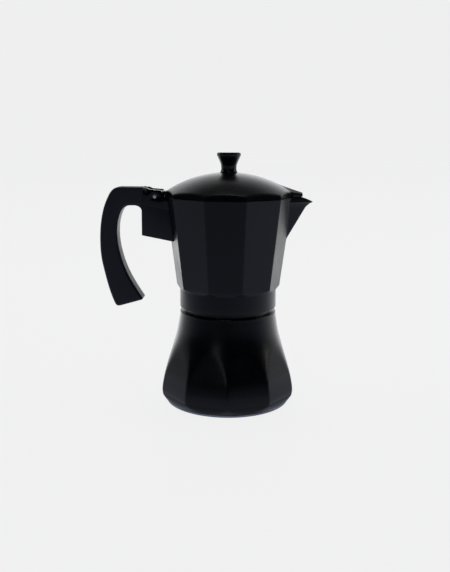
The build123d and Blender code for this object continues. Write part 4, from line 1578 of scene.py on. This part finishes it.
@dataclass
class Knob:
    """The moulded knob with its insert, washer and screw."""

    crown: float = 182.92
    top: float = 198.4
    foot: float = 6.7
    rim: float = 9.4
    bore: float = 3.2

    def build(self) -> None:
        """Builds and settles the knob and its fixings."""
        z = self.crown
        neck = [(self.foot, z + 0.5), (6.15, z + 1.5), (5.95, z + 2.8), (6.0, z + 4.2), (6.25, z + 5.8),
                (7.2, self.top - 7.2), (8.15, self.top - 5.2), (8.95, self.top - 3.3)]
        rows = bend((self.bore, z), (self.foot, z), (self.foot, z + 1), 0.2, 2)
        rows += plains(*curve_through(neck, 4))
        rows += plains((9.12, self.top - 2.9), (9.3, self.top - 2.0))
        rows += bend((9.3, self.top - 2), (self.rim, self.top - 1.0), (8.5, self.top), 0.5)
        rows += bend((9.0, self.top - 0.5), (8.4, self.top), (6.0, self.top), 0.7)
        rows += plains((6.2, self.top), (4.0, self.top - 0.12), (0.0, self.top - 0.16))
        rows += plains((0.0, z + 8.5), (self.bore, z + 8.5), (self.bore, z))
        piece = close_up(turned("knob_moulding", rows, round_angles(3.0)), 30.0)
        settle(piece, Body.LID, KNOB_PLASTIC, "knob")
        for node, name, finish in (
            ("knob_insert", "knob_bush", VALVE_BRASS),
            ("knob_screw", "knob_fixing", FASTENER_STEEL),
            ("knob_washer", "knob_washer_ring", FASTENER_STEEL),
        ):
            settle(softened(node, name, 0.15, 2), Body.LID, finish, node)


# ------------------------------------------------------------------ studio
@dataclass
class Studio:
    """The pale floor, the soft lights and the camera.

    Each Span is a range of places, in metres or as a direction, and what it is carried into.
    """

    lens: float = 48.07
    sensor: float = 36.0
    camera_at: tuple[float, float, float] = (28.8, -599.3, 212.7)
    look: tuple[float, float, float] = (-0.0510, 0.9793, -0.1960)
    roll: float = 0.38
    pale: Colour = (0.88, 0.88, 0.884)
    backdrop: Colour = (0.862, 0.862, 0.864)
    dim: Colour = (0.011, 0.013, 0.018)
    bright: Colour = (1.75, 1.76, 1.8)
    front_tint: Colour = (0.8, 0.88, 1.12)
    paper: Colour = (0.1, 0.1, 0.101)
    floor_half: float = 6.0
    floor_seen: Span = (0.4, 4.0, (0.952, 0.925))
    floor_tint: Span = (-0.1, 0.34, (0.0, 1.0))
    near_glow: Span = (-0.5, 0.1, (0.3, 0.7))
    far_glow: Span = (0.08, 0.34, (0.0, 1.0))
    far_side: Span = (-0.3, 0.3, (2.3, 1.35))
    far_ends: tuple[Span, ...] = ((-0.34, -0.62, (1.0, 0.12)), (0.34, 0.62, (1.0, 0.35)))
    right_glow: Span = (0.0, 0.4, (0.0, 0.25))
    behind: Span = (-0.1, 0.45, (0.0, 1.0))
    low: Span = (0.8, 0.3, (0.04, 1.0))
    shades: tuple[tuple[Span, Span], ...] = (
        ((-0.1, -0.5, (0.0, 0.75)), (0.45, 0.25, (0.0, 1.0))),
        ((0.15, 0.6, (0.0, 0.6)), (0.8, 0.5, (0.0, 1.0))),
    )
    lamps: tuple[tuple[str, tuple[float, float, float], float, float], ...] = (
        ("overhead", (0.0, 0.1, 1.6), 0.7, 1.0),
        ("high_front", (0.0, -0.5, 1.5), 0.35, 1.5),
        ("right_side", (1.5, 0.3, 0.7), 0.8, 4.0),
        ("left_side", (-1.6, 0.4, 0.7), 0.8, 2.0),
        ("front_window", (-0.5, -1.25, 0.52), 0.3, 0.4),
    )
    lamps_aim: tuple[float, float, float] = (0.0, 0.0, 0.1)

    def camera(self) -> None:
        """Places the camera and makes it the scene's own."""
        data = bpy.data.cameras.new("camera")
        data.lens, data.sensor_width = self.lens, self.sensor
        data.clip_start, data.clip_end = 0.01, 50.0
        eye = added("camera", data)
        back = -Vector(self.look).normalized()
        right = Vector((0, 0, 1)).cross(back).normalized()
        upright = Matrix((right, back.cross(right), back)).transposed().to_4x4()
        rolled = upright @ Matrix.Rotation(math.radians(self.roll), 4, "Z")
        eye.matrix_world = Matrix.Translation(Vector(self.camera_at) * MM) @ rolled
        bpy.context.scene.camera = eye

    def floor(self) -> None:
        """Lays a wide pale floor, lit like a sweep: bright behind and beside the pot, dimmer in front."""
        far = self.floor_half
        mesh = bpy.data.meshes.new("floor")
        corners = [(-far, -far, 0), (far, -far, 0), (far, far, 0), (-far, far, 0)]
        mesh.from_pydata(corners, [], [(0, 1, 2, 3)])
        piece = added("floor", mesh)
        material = bpy.data.materials.new("floor_paper")
        material.use_nodes = True
        w = Wiring(material.node_tree)
        x, y, _ = w.parts(w.node("ShaderNodeTexCoord").outputs["Object"])
        glow = w.times(w.span(y, *self.far_glow), w.span(x, *self.far_side),
                       *(w.span(x, *end) for end in self.far_ends))
        lit = w.plus(w.span(y, *self.near_glow), glow, w.span(x, *self.right_glow))
        tint = w.blend(w.span(y, *self.floor_tint), self.front_tint, self.pale)
        seen = w.node("ShaderNodeLightPath").outputs["Is Camera Ray"]
        strengths = {"Factor": seen, "A": lit, "B": w.span(y, *self.floor_seen)}
        shader = w.node("ShaderNodeBsdfPrincipled", {
            "Base Color": (*self.paper, 1.0), "Roughness": 0.9, "Specular IOR Level": 0.05,
            "Emission Color": w.blend(seen, tint, self.pale),
            "Emission Strength": w.node("ShaderNodeMix", strengths).outputs["Result"]})
        w.node("ShaderNodeOutputMaterial", {"Surface": shader.outputs["BSDF"]})
        mesh.materials.append(material)

    def surroundings(self) -> None:
        """Makes a room with a bright low band behind and beside the pot, dim above and in front."""
        world = bpy.data.worlds.new("studio")
        world.use_nodes = True
        w = Wiring(world.node_tree)
        x, y, z = w.parts(w.node("ShaderNodeTexCoord").outputs["Generated"])
        shades = (w.times(w.span(x, *side), w.span(z, *top)) for side, top in self.shades)
        share = w.times(w.span(y, *self.behind), w.span(z, *self.low), w.minus(1.0, *shades))
        room = w.blend(share, self.dim, self.bright)
        seen = w.node("ShaderNodeLightPath").outputs["Is Camera Ray"]
        colour = w.blend(seen, room, self.backdrop)
        back = w.node("ShaderNodeBackground", {"Color": colour, "Strength": 1.0})
        w.node("ShaderNodeOutputWorld", {"Surface": back.outputs[0]})
        bpy.context.scene.world = world

    def lamp(self, name: str, at: Point, size: float, watts: float) -> None:
        """Hangs one soft square lamp, turned to the pot's middle.

        Args:
            name: the lamp's name.
            at: its place, in metres.
            size: the length of its side, in metres.
            watts: its power.
        """
        data = bpy.data.lights.new(name, "AREA")
        data.energy, data.size, data.shape = watts, size, "SQUARE"
        piece = added(name, data)
        piece.location = at
        piece.rotation_euler = (Vector(self.lamps_aim) - Vector(at)).to_track_quat("-Z", "Y").to_euler()

    def build(self) -> None:
        """Sets up the floor, the room, the lamps and the camera."""
        self.floor()
        self.surroundings()
        for settings in self.lamps:
            self.lamp(*settings)
        self.camera()
        bpy.context.scene.view_settings.view_transform = "Standard"


def main() -> None:
    """Builds every sub-assembly in order and reports it."""
    logging.basicConfig(level=logging.INFO, format="%(name)s: %(message)s")
    for part in (Boiler(), SafetyValve(), Seal(), Collector(), HandleAndHinge(), Lid(), Knob(), Studio()):
        part.build()
        log.info("%s done", type(part).__name__)


if __name__ == "__main__":
    main()
